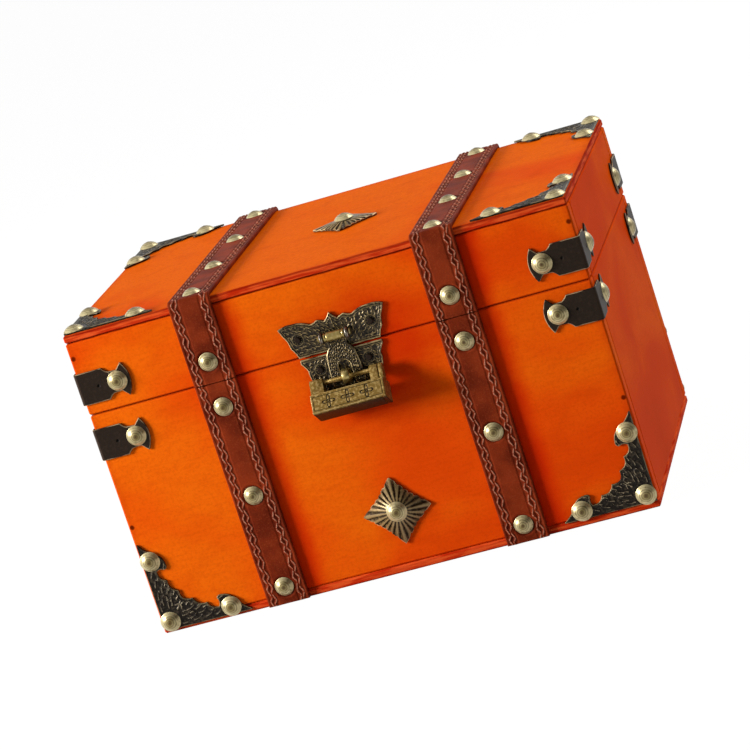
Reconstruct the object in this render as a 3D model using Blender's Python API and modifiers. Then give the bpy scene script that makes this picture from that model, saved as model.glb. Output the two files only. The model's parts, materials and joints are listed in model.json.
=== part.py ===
"""A small wooden storage box with leather straps, brass tacks, patinated corners and a bar padlock.

The origin is at the centre of the underside. X runs along the front, -Y points out of the front and Z is up.
Heights are above the underside. A place on a face is given across it, up it and out from the wood.
"""
import math
from dataclasses import dataclass

import bmesh
import bpy
from mathutils import Matrix, Vector

MM = 0.001

# The wooden carcass
BOX_WIDTH = 240 * MM
BOX_DEPTH = 168 * MM
BOX_HEIGHT = 148 * MM
PARTING_HEIGHT = 109 * MM
PARTING_GAP = 0.4 * MM
WALL = 8 * MM
BOARD = 3.6 * MM
EDGE_BEVEL = 0.7 * MM
SEAT_GAP = 0.3 * MM
OVERRUN = 1 * MM
WELD = 0.002 * MM

# Leather straps
STRAP_PLACE_SHARE = 57.8 / 120
STRAP_WIDTH = 20 * MM
STRAP_THICKNESS = 2 * MM
STRAP_BEND = 1.4 * MM

# Dome-headed tacks
TACK_RADIUS = 5 * MM
TACK_HEIGHT = 3 * MM
STRAP_TACK_RADIUS = 4.4 * MM
STRAP_TACK_HEIGHT = 2.7 * MM
TACK_SHANK = 3.6 * MM
TACK_SINK = 0.3 * MM
TACK_ROOT_SIDE = 1.5 * MM
TACK_TIP_SIDE = 1.1 * MM
TACK_DOME_SHARES = ((0.34, 0.97), (0.77, 0.64), (1.0, 0.0))
TACK_SIDES = 10
SHANK_ROOT = 0.4 * MM
BORE_CLEARANCE = 0.3 * MM

# Places of the tacks on the straps
TOP_TACK_EDGE = 8 * MM
TOP_TACK_INNER = 26 * MM
LID_STRAP_TACK_RISE = 10 * MM
BODY_STRAP_TACK_DROPS = (11.5 * MM, 55.3 * MM, 100.5 * MM)

# Edge clips, with one leg on each side of an upright edge
CLIP_LEG = 24.8 * MM
CLIP_WIDTH = 15.2 * MM
CLIP_THICKNESS = 0.8 * MM
CLIP_TACK = 18.4 * MM
CLIP_EDGE_SHARES = (
    (0.0, 1.0, 0.0), (0.52, 1.0, -0.01), (0.625, 0.69, 0.0), (0.786, 0.66, 0.0), (0.903, 1.05, 0.105))
LID_CLIP_RISE = 12.6 * MM
FRONT_LEFT_CLIP_DROP = 14.1 * MM
FRONT_RIGHT_CLIP_DROP = 11.2 * MM
BACK_CLIP_DROP = 12.6 * MM

# Scalloped corner plates
PLATE_LEG = 43.2 * MM
PLATE_THICKNESS = 0.8 * MM
PLATE_NEAR_TACK = 3.9 * MM
PLATE_FAR_TACK = 34.1 * MM
PLATE_EDGE_INSET = 0.8 * MM
LEFT_PLATE_RISE = 1.5 * MM
RIGHT_PLATE_RISE = 3.5 * MM
PLATE_EDGE_SHARES = (
    (1.0, 0.0, 0.0), (1.0, 0.012, -0.012), (0.857, 0.153, 0.025), (0.722, 0.243, 0.016), (0.662, 0.213, -0.014),
    (0.662, 0.123, -0.03), (0.544, 0.201, -0.035), (0.407, 0.287, -0.052))

# Fluted diamond medallions
MEDALLION_SPAN = 32 * MM
MEDALLION_RIM = 0.7 * MM
MEDALLION_CROWN = 1.9 * MM
MEDALLION_RIDGE = 0.35 * MM
MEDALLION_SEAT_RADIUS = 5.4 * MM
MEDALLION_X = 3.9 * MM
MEDALLION_HEIGHT = 29.4 * MM
LID_MEDALLION_X = 3 * MM
LID_MEDALLION_Y = -2 * MM
MEDALLION_TURN = math.radians(-2.5)
MEDALLION_EDGE_SHARES = (1.0, 0.83, 0.74, 0.66, 0.68, 0.66, 0.74, 0.83)

# Butterfly latch plates
LATCH_X = 2.3 * MM
LATCH_THICKNESS = 1.1 * MM
UPPER_HALF_SPAN = 25.1 * MM
UPPER_RISE = 17.3 * MM
UPPER_EDGE_SHARES = (
    (0.773, 0.0, -0.01), (0.865, 0.29, 0.0), (0.885, 0.46, -0.008), (0.945, 0.665, 0.0), (1.0, 0.87, 0.01),
    (0.80, 0.935, 0.0), (0.62, 0.92, 0.012), (0.40, 0.80, -0.01), (0.26, 0.87, 0.01), (0.13, 0.79, -0.01),
    (0.0, 1.0, 0.0))
LOWER_HALF_SPAN = 19.5 * MM
LOWER_DROP = 23.6 * MM
LOWER_EDGE_SHARES = (
    (1.0, 0.0, 0.0), (1.0, 0.11, -0.01), (0.89, 0.27, 0.01), (0.87, 0.46, 0.06), (0.52, 0.84, -0.02),
    (0.20, 0.88, 0.02), (0.0, 1.0, 0.0))
UPPER_BRAD_X = 17.4 * MM
UPPER_BRAD_RISE = 8.5 * MM
LOWER_BRAD_X = 11.6 * MM
LOWER_BRAD_DROP = 7 * MM

# Hasp, its pin and the rings that carry it
HASP_PIN_RISE = 6.8 * MM
HASP_PIN_OUT = 3.9 * MM
HASP_PIN_RADIUS = 0.9 * MM
HASP_PIN_HEAD_RADIUS = 1.6 * MM
HASP_PIN_HEAD = 0.6 * MM
PIN_CLEARANCE = 0.3 * MM
HASP_BARREL_RADIUS = 2 * MM
HASP_BARREL_WIDTH = 9.6 * MM
HASP_THICKNESS = 1.2 * MM
HASP_LIFT = 0.4 * MM
HASP_HALF_WIDTH = 7.7 * MM
HASP_REACH = 4.5 * MM
HASP_EDGE_SHARES = (
    (0.56, 0.0, 0.0), (0.56, 0.21, 0.02), (0.88, 0.366, 0.0), (0.96, 0.58, 0.0), (1.0, 0.77, 0.0), (1.0, 0.97, 0.0),
    (0.94, 1.0, 0.0), (0.36, 1.0, 0.0), (0.36, 0.62, -0.10), (0.0, 0.51, 0.0))
RING_RADIUS = 2.4 * MM
RING_WIDTH = 1.6 * MM
RING_GAP = 0.5 * MM
RING_FOOT_WIDTH = 1.2 * MM
RING_FOOT_HEIGHT = 2.6 * MM

# Staple ring
STAPLE_DROP = 11.9 * MM
STAPLE_OUT = 4.9 * MM
STAPLE_RADIUS = 3.5 * MM
STAPLE_HOLE_RADIUS = 2.4 * MM
STAPLE_WIDTH = 3.6 * MM
STAPLE_FOOT_WIDTH = 3 * MM
STAPLE_FOOT_HEIGHT = 3 * MM
STAPLE_FOOT_DEPTH = 5 * MM

# Bar padlock: outward and upward distances are from the axis of its bar, about which it leans out
LOCK_X = 2 * MM
BAR_IN = 0.3 * MM
BAR_SAG = 0.5 * MM
BAR_RADIUS = 1 * MM
BAR_BITE = 3 * MM
LOCK_LEAN = math.radians(32)
LOCK_WIDTH = 34.6 * MM
LOCK_BACK = 6.7 * MM
LOCK_FRONT = 3.9 * MM
LOCK_TOP = 5.7 * MM
LOCK_BODY_HEIGHT = 9.5 * MM
LOCK_FACE = 1 * MM
LOCK_FACE_PROUD = 0.7 * MM
LOCK_FACE_INSET = 0.4 * MM
LOCK_END_INSET = 0.2 * MM
EAR_WIDTH = 6.2 * MM
EAR_HALF_DEPTH = 2 * MM
EAR_TOP_HALF_DEPTH = 1.2 * MM
EAR_SHOULDER = 0.6 * MM
EAR_RISE = 1.9 * MM
END_PLATE = 1.9 * MM
ROD_DROP = 10.45 * MM
ROD_BACK = 1.4 * MM
ROD_SIDE = 2 * MM
ROD_REACH = 6 * MM
CAVITY_HEIGHT = 5.2 * MM
CAVITY_DEPTH = 4.4 * MM
CAVITY_WALL = 3 * MM
MOUTH_HEIGHT = 3.9 * MM
MOUTH_DEPTH = 3.4 * MM
MOUTH_LENGTH = 2.6 * MM
KEYHOLE_WIDTH = 1.6 * MM
KEYHOLE_HEIGHT = 3.6 * MM
SPRING_THICKNESS = 0.35 * MM
SPRING_SPREAD = 2.3 * MM
SPRING_STOP_GAP = 0.5 * MM

# Butt hinges on the back
HINGE_ASIDE = 4 * MM
HINGE_OUT = 2.7 * MM
HINGE_WIDTH = 21 * MM
HINGE_LEAF_HEIGHT = 15 * MM
HINGE_LEAF = 1 * MM
KNUCKLE_RADIUS = 1.9 * MM
HINGE_PIN_RADIUS = 0.9 * MM
HINGE_KNUCKLE = 6.3 * MM
HINGE_BRAD_X = 6.2 * MM
HINGE_BRAD_REACH = 10 * MM

# Brads in hinges and latch plates
BRAD_RADIUS = 1.6 * MM
BRAD_TOP_RADIUS = 1.1 * MM
BRAD_HEAD = 0.8 * MM
BRAD_SHANK = 5.5 * MM
BRAD_SIDE = 1.1 * MM

ARC_STEPS = 3
ROUND_SIDES = 16
SHARP_ANGLE = math.radians(40)
QUARTER_TURN = math.radians(90)
HALF_TURN = math.radians(180)

HALF_WIDTH = BOX_WIDTH / 2
HALF_DEPTH = BOX_DEPTH / 2
LID_BOTTOM = PARTING_HEIGHT + PARTING_GAP
LATCH_FACE = SEAT_GAP + LATCH_THICKNESS
STRAP_X = HALF_WIDTH * STRAP_PLACE_SHARE
HINGE_X = STRAP_X - STRAP_WIDTH / 2 - HINGE_ASIDE - HINGE_WIDTH / 2
HINGE_HEIGHT = PARTING_HEIGHT + PARTING_GAP / 2
HASP_PIN_HEIGHT = LID_BOTTOM + HASP_PIN_RISE
STAPLE_HEIGHT = PARTING_HEIGHT - STAPLE_DROP
HASP_DROP = HASP_PIN_HEIGHT - STAPLE_HEIGHT + HASP_REACH
BAR_HEIGHT = STAPLE_HEIGHT - BAR_SAG
BAR_OUT = STAPLE_OUT - BAR_IN

FRONT = Vector((0, -1, 0))
BACK = Vector((0, 1, 0))
LEFT = Vector((-1, 0, 0))
RIGHT = Vector((1, 0, 0))
TOP = Vector((0, 0, 1))
CORNERS = {"front_left": FRONT, "front_right": RIGHT, "back_right": BACK, "back_left": LEFT}
SIDES = {"left": -1, "right": 1}
ENDS = {"front": -1, "back": 1}


@dataclass
class Shop:
    """The collections and materials that every piece is made with."""

    parts: bpy.types.Collection
    cutters: bpy.types.Collection
    materials: dict

    def add(self, name, mesh, slot, matrix=None):
        """Adds a piece of the object from a mesh."""
        made = bpy.data.objects.new(name, mesh)
        self.parts.objects.link(made)
        if not mesh.materials:
            mesh.materials.append(self.materials[slot])
        if matrix is not None:
            made.matrix_world = matrix
        return made

    def add_cutter(self, name, mesh, matrix=None):
        """Adds a hidden shape that cuts or joins other shapes."""
        made = bpy.data.objects.new(name, mesh)
        self.cutters.objects.link(made)
        made.hide_render = True
        made.display_type = "WIRE"
        if matrix is not None:
            made.matrix_world = matrix
        return made


def new_collection(name):
    """Adds a collection to the scene."""
    made = bpy.data.collections.new(name)
    bpy.context.scene.collection.children.link(made)
    return made


def new_material(name, colour, roughness, metallic):
    """Makes a plain material of one colour."""
    made = bpy.data.materials.new(name)
    made.use_nodes = True
    shader = made.node_tree.nodes["Principled BSDF"]
    shader.inputs["Base Color"].default_value = (*colour, 1.0)
    shader.inputs["Roughness"].default_value = roughness
    shader.inputs["Metallic"].default_value = metallic
    made.diffuse_color = (*colour, 1.0)
    return made


def on_face(normal, across, up, out=0.0):
    """Gives the place of a point on a face: across it, up it (or back along the top) and out from the wood."""
    if normal == TOP:
        return Vector((across, up, BOX_HEIGHT + out))
    if normal in (FRONT, BACK):
        return Vector((across, normal.y * (HALF_DEPTH + out), up))
    return Vector((normal.x * (HALF_WIDTH + out), across, up))


def facing(normal, place, turn=0.0):
    """Gives the matrix that stands a shape's +Z on a face's normal, with its +X to the right as seen from outside."""
    up = Vector((0, 1, 0)) if normal == TOP else TOP
    standing = Matrix((up.cross(normal), up, normal)).transposed().to_4x4()
    return Matrix.Translation(place) @ standing @ Matrix.Rotation(turn, 4, "Z")


def mesh_from(name, bm):
    """Turns a bmesh into a mesh and frees it."""
    mesh = bpy.data.meshes.new(name)
    bm.to_mesh(mesh)
    bm.free()
    return mesh


def smoothed(mesh):
    """Shades a mesh smooth with its sharp edges kept."""
    mesh.shade_smooth()
    mesh.set_sharp_from_angle(angle=SHARP_ANGLE)
    return mesh


def block_mesh(name, size):
    """Makes a box of a size about its centre."""
    bm = bmesh.new()
    bmesh.ops.create_cube(bm, size=1.0)
    bmesh.ops.scale(bm, vec=size, verts=bm.verts)
    return mesh_from(name, bm)


def rod_mesh(name, radius, length):
    """Makes a cylinder that lies along X about its centre."""
    bm = bmesh.new()
    bmesh.ops.create_cone(bm, cap_ends=True, segments=ROUND_SIDES, radius1=radius, radius2=radius, depth=length)
    bmesh.ops.rotate(bm, matrix=Matrix.Rotation(QUARTER_TURN, 3, "Y"), verts=bm.verts)
    return smoothed(mesh_from(name, bm))


def spike_mesh(name, root_side, tip_side, low, high):
    """Makes an upright square spike between two heights."""
    bm = bmesh.new()
    half_diagonal = math.sqrt(0.5)
    bmesh.ops.create_cone(
        bm, cap_ends=True, segments=4, radius1=tip_side * half_diagonal, radius2=root_side * half_diagonal,
        depth=high - low)
    bmesh.ops.rotate(bm, matrix=Matrix.Rotation(QUARTER_TURN / 2, 3, "Z"), verts=bm.verts)
    bmesh.ops.translate(bm, vec=(0, 0, (low + high) / 2), verts=bm.verts)
    return mesh_from(name, bm)


def settled_mesh(made, name):
    """Gives the mesh of an object with its modifiers applied and its doubled points welded."""
    bpy.context.view_layer.update()
    graph = bpy.context.evaluated_depsgraph_get()
    mesh = bpy.data.meshes.new_from_object(made.evaluated_get(graph), depsgraph=graph)
    bm = bmesh.new()
    bm.from_mesh(mesh)
    bmesh.ops.remove_doubles(bm, verts=bm.verts, dist=WELD)
    bpy.data.meshes.remove(mesh)
    return mesh_from(name, bm)


def with_mirror(half, flip):
    """Closes half an outline with its mirror image, walked back; each corner's bulge is for the run that follows it."""
    mirror = [(*flip(x, y), before[2]) for (x, y, _), before in zip(half[1:], half)][::-1]
    mirror.append((*flip(half[0][0], half[0][1]), 0.0))
    if mirror[0][:2] == half[-1][:2]:
        half = half[:-1]
    if mirror[-1][:2] == half[0][:2]:
        mirror = mirror[:-1]
    return half + mirror


def flip_across(x, y):
    """Mirrors a point in the Y axis."""
    return -x, y


def flip_along(x, y):
    """Mirrors a point in the X axis."""
    return x, -y


def flip_diagonal(x, y):
    """Mirrors a point in the diagonal."""
    return y, x


def sized(shares, across, up):
    """Turns rows of shares (across, up, bulge of the run that follows) into corners."""
    return [(x * across, y * up, bulge * across) for x, y, bulge in shares]


def with_arcs(corners):
    """Walks a closed outline anticlockwise; a run with a bulge becomes a shallow arc that stands out by it."""
    path = []
    for (x, y, bulge), (next_x, next_y, _) in zip(corners, corners[1:] + corners[:1]):
        start = Vector((x, y))
        chord = Vector((next_x, next_y)) - start
        path.append(start)
        if bulge:
            outward = Vector((chord.y, -chord.x)).normalized()
            for step in range(1, ARC_STEPS):
                share = step / ARC_STEPS
                path.append(start + chord * share + outward * bulge * 4 * share * (1 - share))
    return path


def plate_mesh(name, path, thickness):
    """Makes a flat plate from an outline, with its back at Z zero."""
    curve = bpy.data.curves.new(name, "CURVE")
    curve.dimensions = "2D"
    curve.fill_mode = "BOTH"
    curve.extrude = thickness / 2
    spline = curve.splines.new("POLY")
    spline.points.add(len(path) - 1)
    for point, (x, y) in zip(spline.points, path):
        point.co = (x, y, 0, 1)
    spline.use_cyclic_u = True
    pattern = bpy.data.objects.new(name, curve)
    bpy.context.scene.collection.objects.link(pattern)
    mesh = settled_mesh(pattern, name)
    bpy.data.objects.remove(pattern)
    bpy.data.curves.remove(curve)
    mesh.transform(Matrix.Translation((0, 0, thickness / 2)))
    return smoothed(mesh)


def profile_matrix(centre_x, width):
    """Gives the matrix that turns a plate of points (forward, up) into a profile that runs across X."""
    return facing(LEFT, Vector((centre_x + width / 2, 0, 0)))


def cut(target, *cutters):
    """Cuts shapes out of a piece."""
    for cutter in cutters:
        step = target.modifiers.new("cut " + cutter.name, "BOOLEAN")
        step.operation = "DIFFERENCE"
        step.solver = "EXACT"
        step.object = cutter


def join(target, *others):
    """Joins shapes to a piece."""
    for other in others:
        step = target.modifiers.new("join " + other.name, "BOOLEAN")
        step.operation = "UNION"
        step.solver = "EXACT"
        step.object = other


def hang_on(pieces, pivot):
    """Parents pieces, and the shapes that cut them, to the empty on their joint's axis."""
    bpy.context.view_layer.update()
    for piece in pieces:
        shapes = [step.object for step in piece.modifiers if step.type == "BOOLEAN"]
        for shape in [piece, *shapes]:
            if shape.parent is None:
                shape.parent = pivot
                shape.matrix_parent_inverse = pivot.matrix_world.inverted()


def add_pivot(shop, name, place, lean=0.0):
    """Adds an empty on a joint's axis, along X."""
    pivot = bpy.data.objects.new(name, None)
    shop.parts.objects.link(pivot)
    pivot.location = place
    pivot.rotation_euler.x = -lean
    return pivot


def scatter_mesh(name, pattern, places):
    """Gathers copies of a pattern at many places into one mesh of separate solids."""
    bm = bmesh.new()
    for matrix in places:
        first = len(bm.verts)
        bm.from_mesh(pattern)
        bm.verts.ensure_lookup_table()
        bmesh.ops.transform(bm, matrix=matrix, verts=bm.verts[first:])
    return mesh_from(name, bm)


def add_board(shop, name, low, high):
    """Adds a wooden board between two corners, with its edges bevelled."""
    low, high = Vector(low), Vector(high)
    board = shop.add(name, block_mesh(name, high - low), "wood", Matrix.Translation((low + high) / 2))
    bevel = board.modifiers.new("bevelled edges", "BEVEL")
    bevel.width = EDGE_BEVEL
    bevel.segments = 1
    return board


def add_frame(shop, prefix, low, high):
    """Adds four boards that stand between two heights: front and back at full width, sides between them."""
    inner_width = HALF_WIDTH - WALL
    inner_depth = HALF_DEPTH - WALL
    side_end = inner_depth - SEAT_GAP
    return [
        add_board(shop, prefix + "front_panel", (-HALF_WIDTH, -HALF_DEPTH, low), (HALF_WIDTH, -inner_depth, high)),
        add_board(shop, prefix + "back_panel", (-HALF_WIDTH, inner_depth, low), (HALF_WIDTH, HALF_DEPTH, high)),
        add_board(shop, prefix + "left_panel", (-HALF_WIDTH, -side_end, low), (-inner_width, side_end, high)),
        add_board(shop, prefix + "right_panel", (inner_width, -side_end, low), (HALF_WIDTH, side_end, high)),
    ]


def with_shank(shop, head, root_side, tip_side, length):
    """Joins a square shank to the underside of a head."""
    shank = shop.add_cutter("shank", spike_mesh("shank", root_side, tip_side, -length, SHANK_ROOT))
    whole = shop.add_cutter("headed", head)
    join(whole, shank)
    mesh = settled_mesh(whole, head.name)
    bpy.data.objects.remove(whole)
    bpy.data.objects.remove(shank)
    return mesh


def tack_mesh(shop, radius, height):
    """Makes one dome-headed tack with its square shank; the dome's base is at Z zero."""
    profile = bpy.data.meshes.new("tack_profile")
    points = [(across * radius, 0, up * height) for across, up in TACK_DOME_SHARES]
    profile.from_pydata(points, [(n, n + 1) for n in range(len(points) - 1)], [])
    spun = shop.add_cutter("tack_profile", profile)
    screw = spun.modifiers.new("turned", "SCREW")
    screw.steps = TACK_SIDES
    screw.render_steps = TACK_SIDES
    screw.use_merge_vertices = True
    screw.merge_threshold = WELD
    dome = settled_mesh(spun, "tack_dome")
    bpy.data.objects.remove(spun)
    bm = bmesh.new()
    bm.from_mesh(dome)
    bmesh.ops.holes_fill(bm, edges=[edge for edge in bm.edges if edge.is_boundary])
    bmesh.ops.recalc_face_normals(bm, faces=bm.faces)
    return with_shank(shop, mesh_from("tack", bm), TACK_ROOT_SIDE, TACK_TIP_SIDE, TACK_SHANK)


def brad_mesh(shop):
    """Makes one flat-headed brad; the underside of its head is at Z zero."""
    bm = bmesh.new()
    bmesh.ops.create_cone(
        bm, cap_ends=True, segments=TACK_SIDES, radius1=BRAD_RADIUS, radius2=BRAD_TOP_RADIUS, depth=BRAD_HEAD)
    bmesh.ops.translate(bm, vec=(0, 0, BRAD_HEAD / 2), verts=bm.verts)
    return with_shank(shop, mesh_from("brad", bm), BRAD_SIDE, BRAD_SIDE, BRAD_SHANK)


def cut_bores(shop, name, bore, places, targets):
    """Cuts the bores of fasteners at many places into what they hold."""
    bores = shop.add_cutter(name, scatter_mesh(name, bore, places))
    for target in targets:
        cut(target, bores)


def fastened(shop, base, pattern, places):
    """Gives the mesh of a flat piece joined with the fasteners that hold it, for all its copies to share."""
    whole = shop.add_cutter("fastened", base)
    heads = shop.add_cutter("heads", scatter_mesh("heads", pattern, places))
    join(whole, heads)
    mesh = settled_mesh(whole, base.name)
    bpy.data.objects.remove(whole)
    bpy.data.objects.remove(heads)
    return smoothed(mesh)


def add_body_straps(shop, tack):
    """Adds the straps down the front and back of the box, and lists the places of their tacks."""
    height = PARTING_HEIGHT - SEAT_GAP
    strap = block_mesh("body_strap", (STRAP_WIDTH, height, STRAP_THICKNESS))
    strap.transform(Matrix.Translation((0, height / 2, STRAP_THICKNESS / 2)))
    out = STRAP_THICKNESS - TACK_SINK
    places = [Matrix.Translation((0, height - drop, out)) for drop in BODY_STRAP_TACK_DROPS]
    mesh = fastened(shop, strap, tack, places)
    tacks = []
    for side, sign in SIDES.items():
        for end, face in (("front", FRONT), ("back", BACK)):
            seat = facing(face, on_face(face, sign * STRAP_X, SEAT_GAP, SEAT_GAP))
            shop.add(f"{end}_strap_{side}", mesh, "leather", seat)
            tacks += [seat @ place for place in places]
    return tacks


def add_lid_straps(shop, tack):
    """Adds the straps that wrap the lid from its front edge over the top to its back edge, and lists their tacks."""
    inner_depth = HALF_DEPTH + SEAT_GAP
    outer_depth = inner_depth + STRAP_THICKNESS
    inner_top = BOX_HEIGHT + SEAT_GAP
    outer_top = inner_top + STRAP_THICKNESS
    outer_half = [
        (outer_depth, LID_BOTTOM, 0.0), (outer_depth, outer_top - STRAP_BEND, STRAP_BEND / 4),
        (outer_depth - STRAP_BEND, outer_top, 0.0)]
    inner = [
        (-inner_depth, LID_BOTTOM, 0.0), (-inner_depth, inner_top, 0.0), (inner_depth, inner_top, 0.0),
        (inner_depth, LID_BOTTOM, 0.0)]
    strap = plate_mesh("lid_strap", with_arcs(with_mirror(outer_half, flip_across) + inner), STRAP_WIDTH)
    strap.transform(facing(LEFT, Vector((STRAP_WIDTH / 2, 0, 0))))
    out = SEAT_GAP + STRAP_THICKNESS - TACK_SINK
    edge = HALF_DEPTH - TOP_TACK_EDGE
    places = [facing(TOP, on_face(TOP, 0, y, out)) for y in (-edge, -TOP_TACK_INNER, TOP_TACK_INNER, edge)]
    places += [facing(face, on_face(face, 0, LID_BOTTOM + LID_STRAP_TACK_RISE, out)) for face in (FRONT, BACK)]
    mesh = fastened(shop, strap, tack, places)
    straps, tacks = [], []
    for side, sign in SIDES.items():
        seat = Matrix.Translation((sign * STRAP_X, 0, 0))
        straps.append(shop.add("lid_strap_" + side, mesh, "leather", seat))
        tacks += [seat @ place for place in places]
    return straps, tacks


def flat_clip_mesh():
    """Makes the strip of an edge clip, flat, with its two flared ends."""
    leg = with_mirror(sized(CLIP_EDGE_SHARES, CLIP_LEG, -CLIP_WIDTH / 2), flip_along)
    return plate_mesh("edge_clip", with_arcs(with_mirror(leg, flip_across)), CLIP_THICKNESS)


def folded(flat):
    """Folds a flat strip square across its middle, so that its two legs meet in a mitre."""
    bm = bmesh.new()
    bm.from_mesh(flat)
    everything = bm.verts[:] + bm.edges[:] + bm.faces[:]
    bmesh.ops.bisect_plane(bm, geom=everything, plane_co=(0, 0, 0), plane_no=(1, 0, 0), dist=WELD)
    for vert in bm.verts:
        along, across, out = vert.co
        if abs(along) < WELD:
            vert.co = (-out, across, out)
        elif along < 0:
            vert.co = (-out, across, along)
    return mesh_from(flat.name, bm)


def add_clips(shop, tack):
    """Adds the edge clips of lid and box at the four upright edges, and lists the places of their tacks."""
    along = CLIP_TACK + SEAT_GAP
    out = CLIP_THICKNESS - TACK_SINK
    places = [
        Matrix.Translation((along, 0, out)),
        Matrix.Translation((-out, 0, -along)) @ Matrix.Rotation(-QUARTER_TURN, 4, "Y")]
    mesh = fastened(shop, folded(flat_clip_mesh()), tack, places)
    drops = {
        "front_left": FRONT_LEFT_CLIP_DROP, "front_right": FRONT_RIGHT_CLIP_DROP, "back_left": BACK_CLIP_DROP,
        "back_right": BACK_CLIP_DROP}
    made, tacks = {"lid": [], "box": []}, {"lid": [], "box": []}
    for corner, face in CORNERS.items():
        end, side = corner.split("_")
        x, y = SIDES[side] * (HALF_WIDTH + SEAT_GAP), ENDS[end] * (HALF_DEPTH + SEAT_GAP)
        for body, height in (("lid", LID_BOTTOM + LID_CLIP_RISE), ("box", PARTING_HEIGHT - drops[corner])):
            seat = facing(face, Vector((x, y, height)))
            made[body].append(shop.add(f"{body}_clip_{corner}", mesh, "dark_brass", seat))
            tacks[body] += [seat @ place for place in places]
    return made, tacks


def add_corner_plates(shop, tack):
    """Adds the corner plates: two low on the front, two low on the back and four on top, and lists their tacks."""
    edge = with_mirror(sized(PLATE_EDGE_SHARES, PLATE_LEG, PLATE_LEG), flip_diagonal) + [(0.0, 0.0, 0.0)]
    near, far = PLATE_NEAR_TACK, PLATE_FAR_TACK
    out = PLATE_THICKNESS - TACK_SINK
    places = [Matrix.Translation((x, y, out)) for x, y in ((near, near), (far, near), (near, far))]
    mesh = fastened(shop, plate_mesh("corner_plate", with_arcs(edge), PLATE_THICKNESS), tack, places)
    across = HALF_WIDTH - PLATE_EDGE_INSET
    back = HALF_DEPTH - PLATE_EDGE_INSET
    rises = {"left": LEFT_PLATE_RISE, "right": RIGHT_PLATE_RISE}
    plans = []
    for side, x_sign in SIDES.items():
        for end, y_sign in ENDS.items():
            face = FRONT if end == "front" else BACK
            turn = 0.0 if x_sign == y_sign else QUARTER_TURN
            plans.append(("box", f"{end}_corner_plate_{side}", face, x_sign * across, rises[side], turn))
            turn = turn if end == "front" else turn + HALF_TURN
            plans.append(("lid", f"lid_corner_plate_{end}_{side}", TOP, x_sign * across, y_sign * back, turn))
    made, tacks = {"lid": [], "box": []}, {"lid": [], "box": []}
    for body, name, face, x, up, turn in plans:
        seat = facing(face, on_face(face, x, up, SEAT_GAP), turn)
        made[body].append(shop.add(name, mesh, "dark_brass", seat))
        tacks[body] += [seat @ place for place in places]
    return made, tacks


def medallion_mesh():
    """Makes a fluted diamond: a scalloped rim that rises over ridges to a flat seat for its tack."""
    bm = bmesh.new()
    quarter = len(MEDALLION_EDGE_SHARES)
    count = quarter * 4
    rings = [[], [], [], []]
    for n in range(count):
        angle = n / quarter * QUARTER_TURN
        edge = MEDALLION_SPAN / 2 * MEDALLION_EDGE_SHARES[n % quarter]
        ridge = -MEDALLION_RIDGE if n % 2 else MEDALLION_RIDGE
        middle = (edge + MEDALLION_SEAT_RADIUS) / 2
        levels = (
            (edge, 0.0), (edge, MEDALLION_RIM), (middle, (MEDALLION_RIM + MEDALLION_CROWN) / 2 + ridge),
            (MEDALLION_SEAT_RADIUS, MEDALLION_CROWN))
        for ring, (radius, height) in zip(rings, levels):
            ring.append(bm.verts.new((radius * math.cos(angle), radius * math.sin(angle), height)))
    for lower, upper in zip(rings, rings[1:]):
        for n in range(count):
            following = (n + 1) % count
            bm.faces.new((lower[n], lower[following], upper[following]))
            bm.faces.new((lower[n], upper[following], upper[n]))
    bm.faces.new(rings[-1])
    bm.faces.new(rings[0][::-1])
    return smoothed(mesh_from("medallion", bm))


def hinge_brads(centre, sign):
    """Lists the places of a leaf's two brads, above the axis for the lid (sign 1) or below it for the box (-1)."""
    out = SEAT_GAP + HINGE_LEAF - TACK_SINK
    up = centre.z + sign * HINGE_BRAD_REACH
    return [facing(BACK, on_face(BACK, centre.x + aside, up, out)) for aside in (-HINGE_BRAD_X, HINGE_BRAD_X)]


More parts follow.
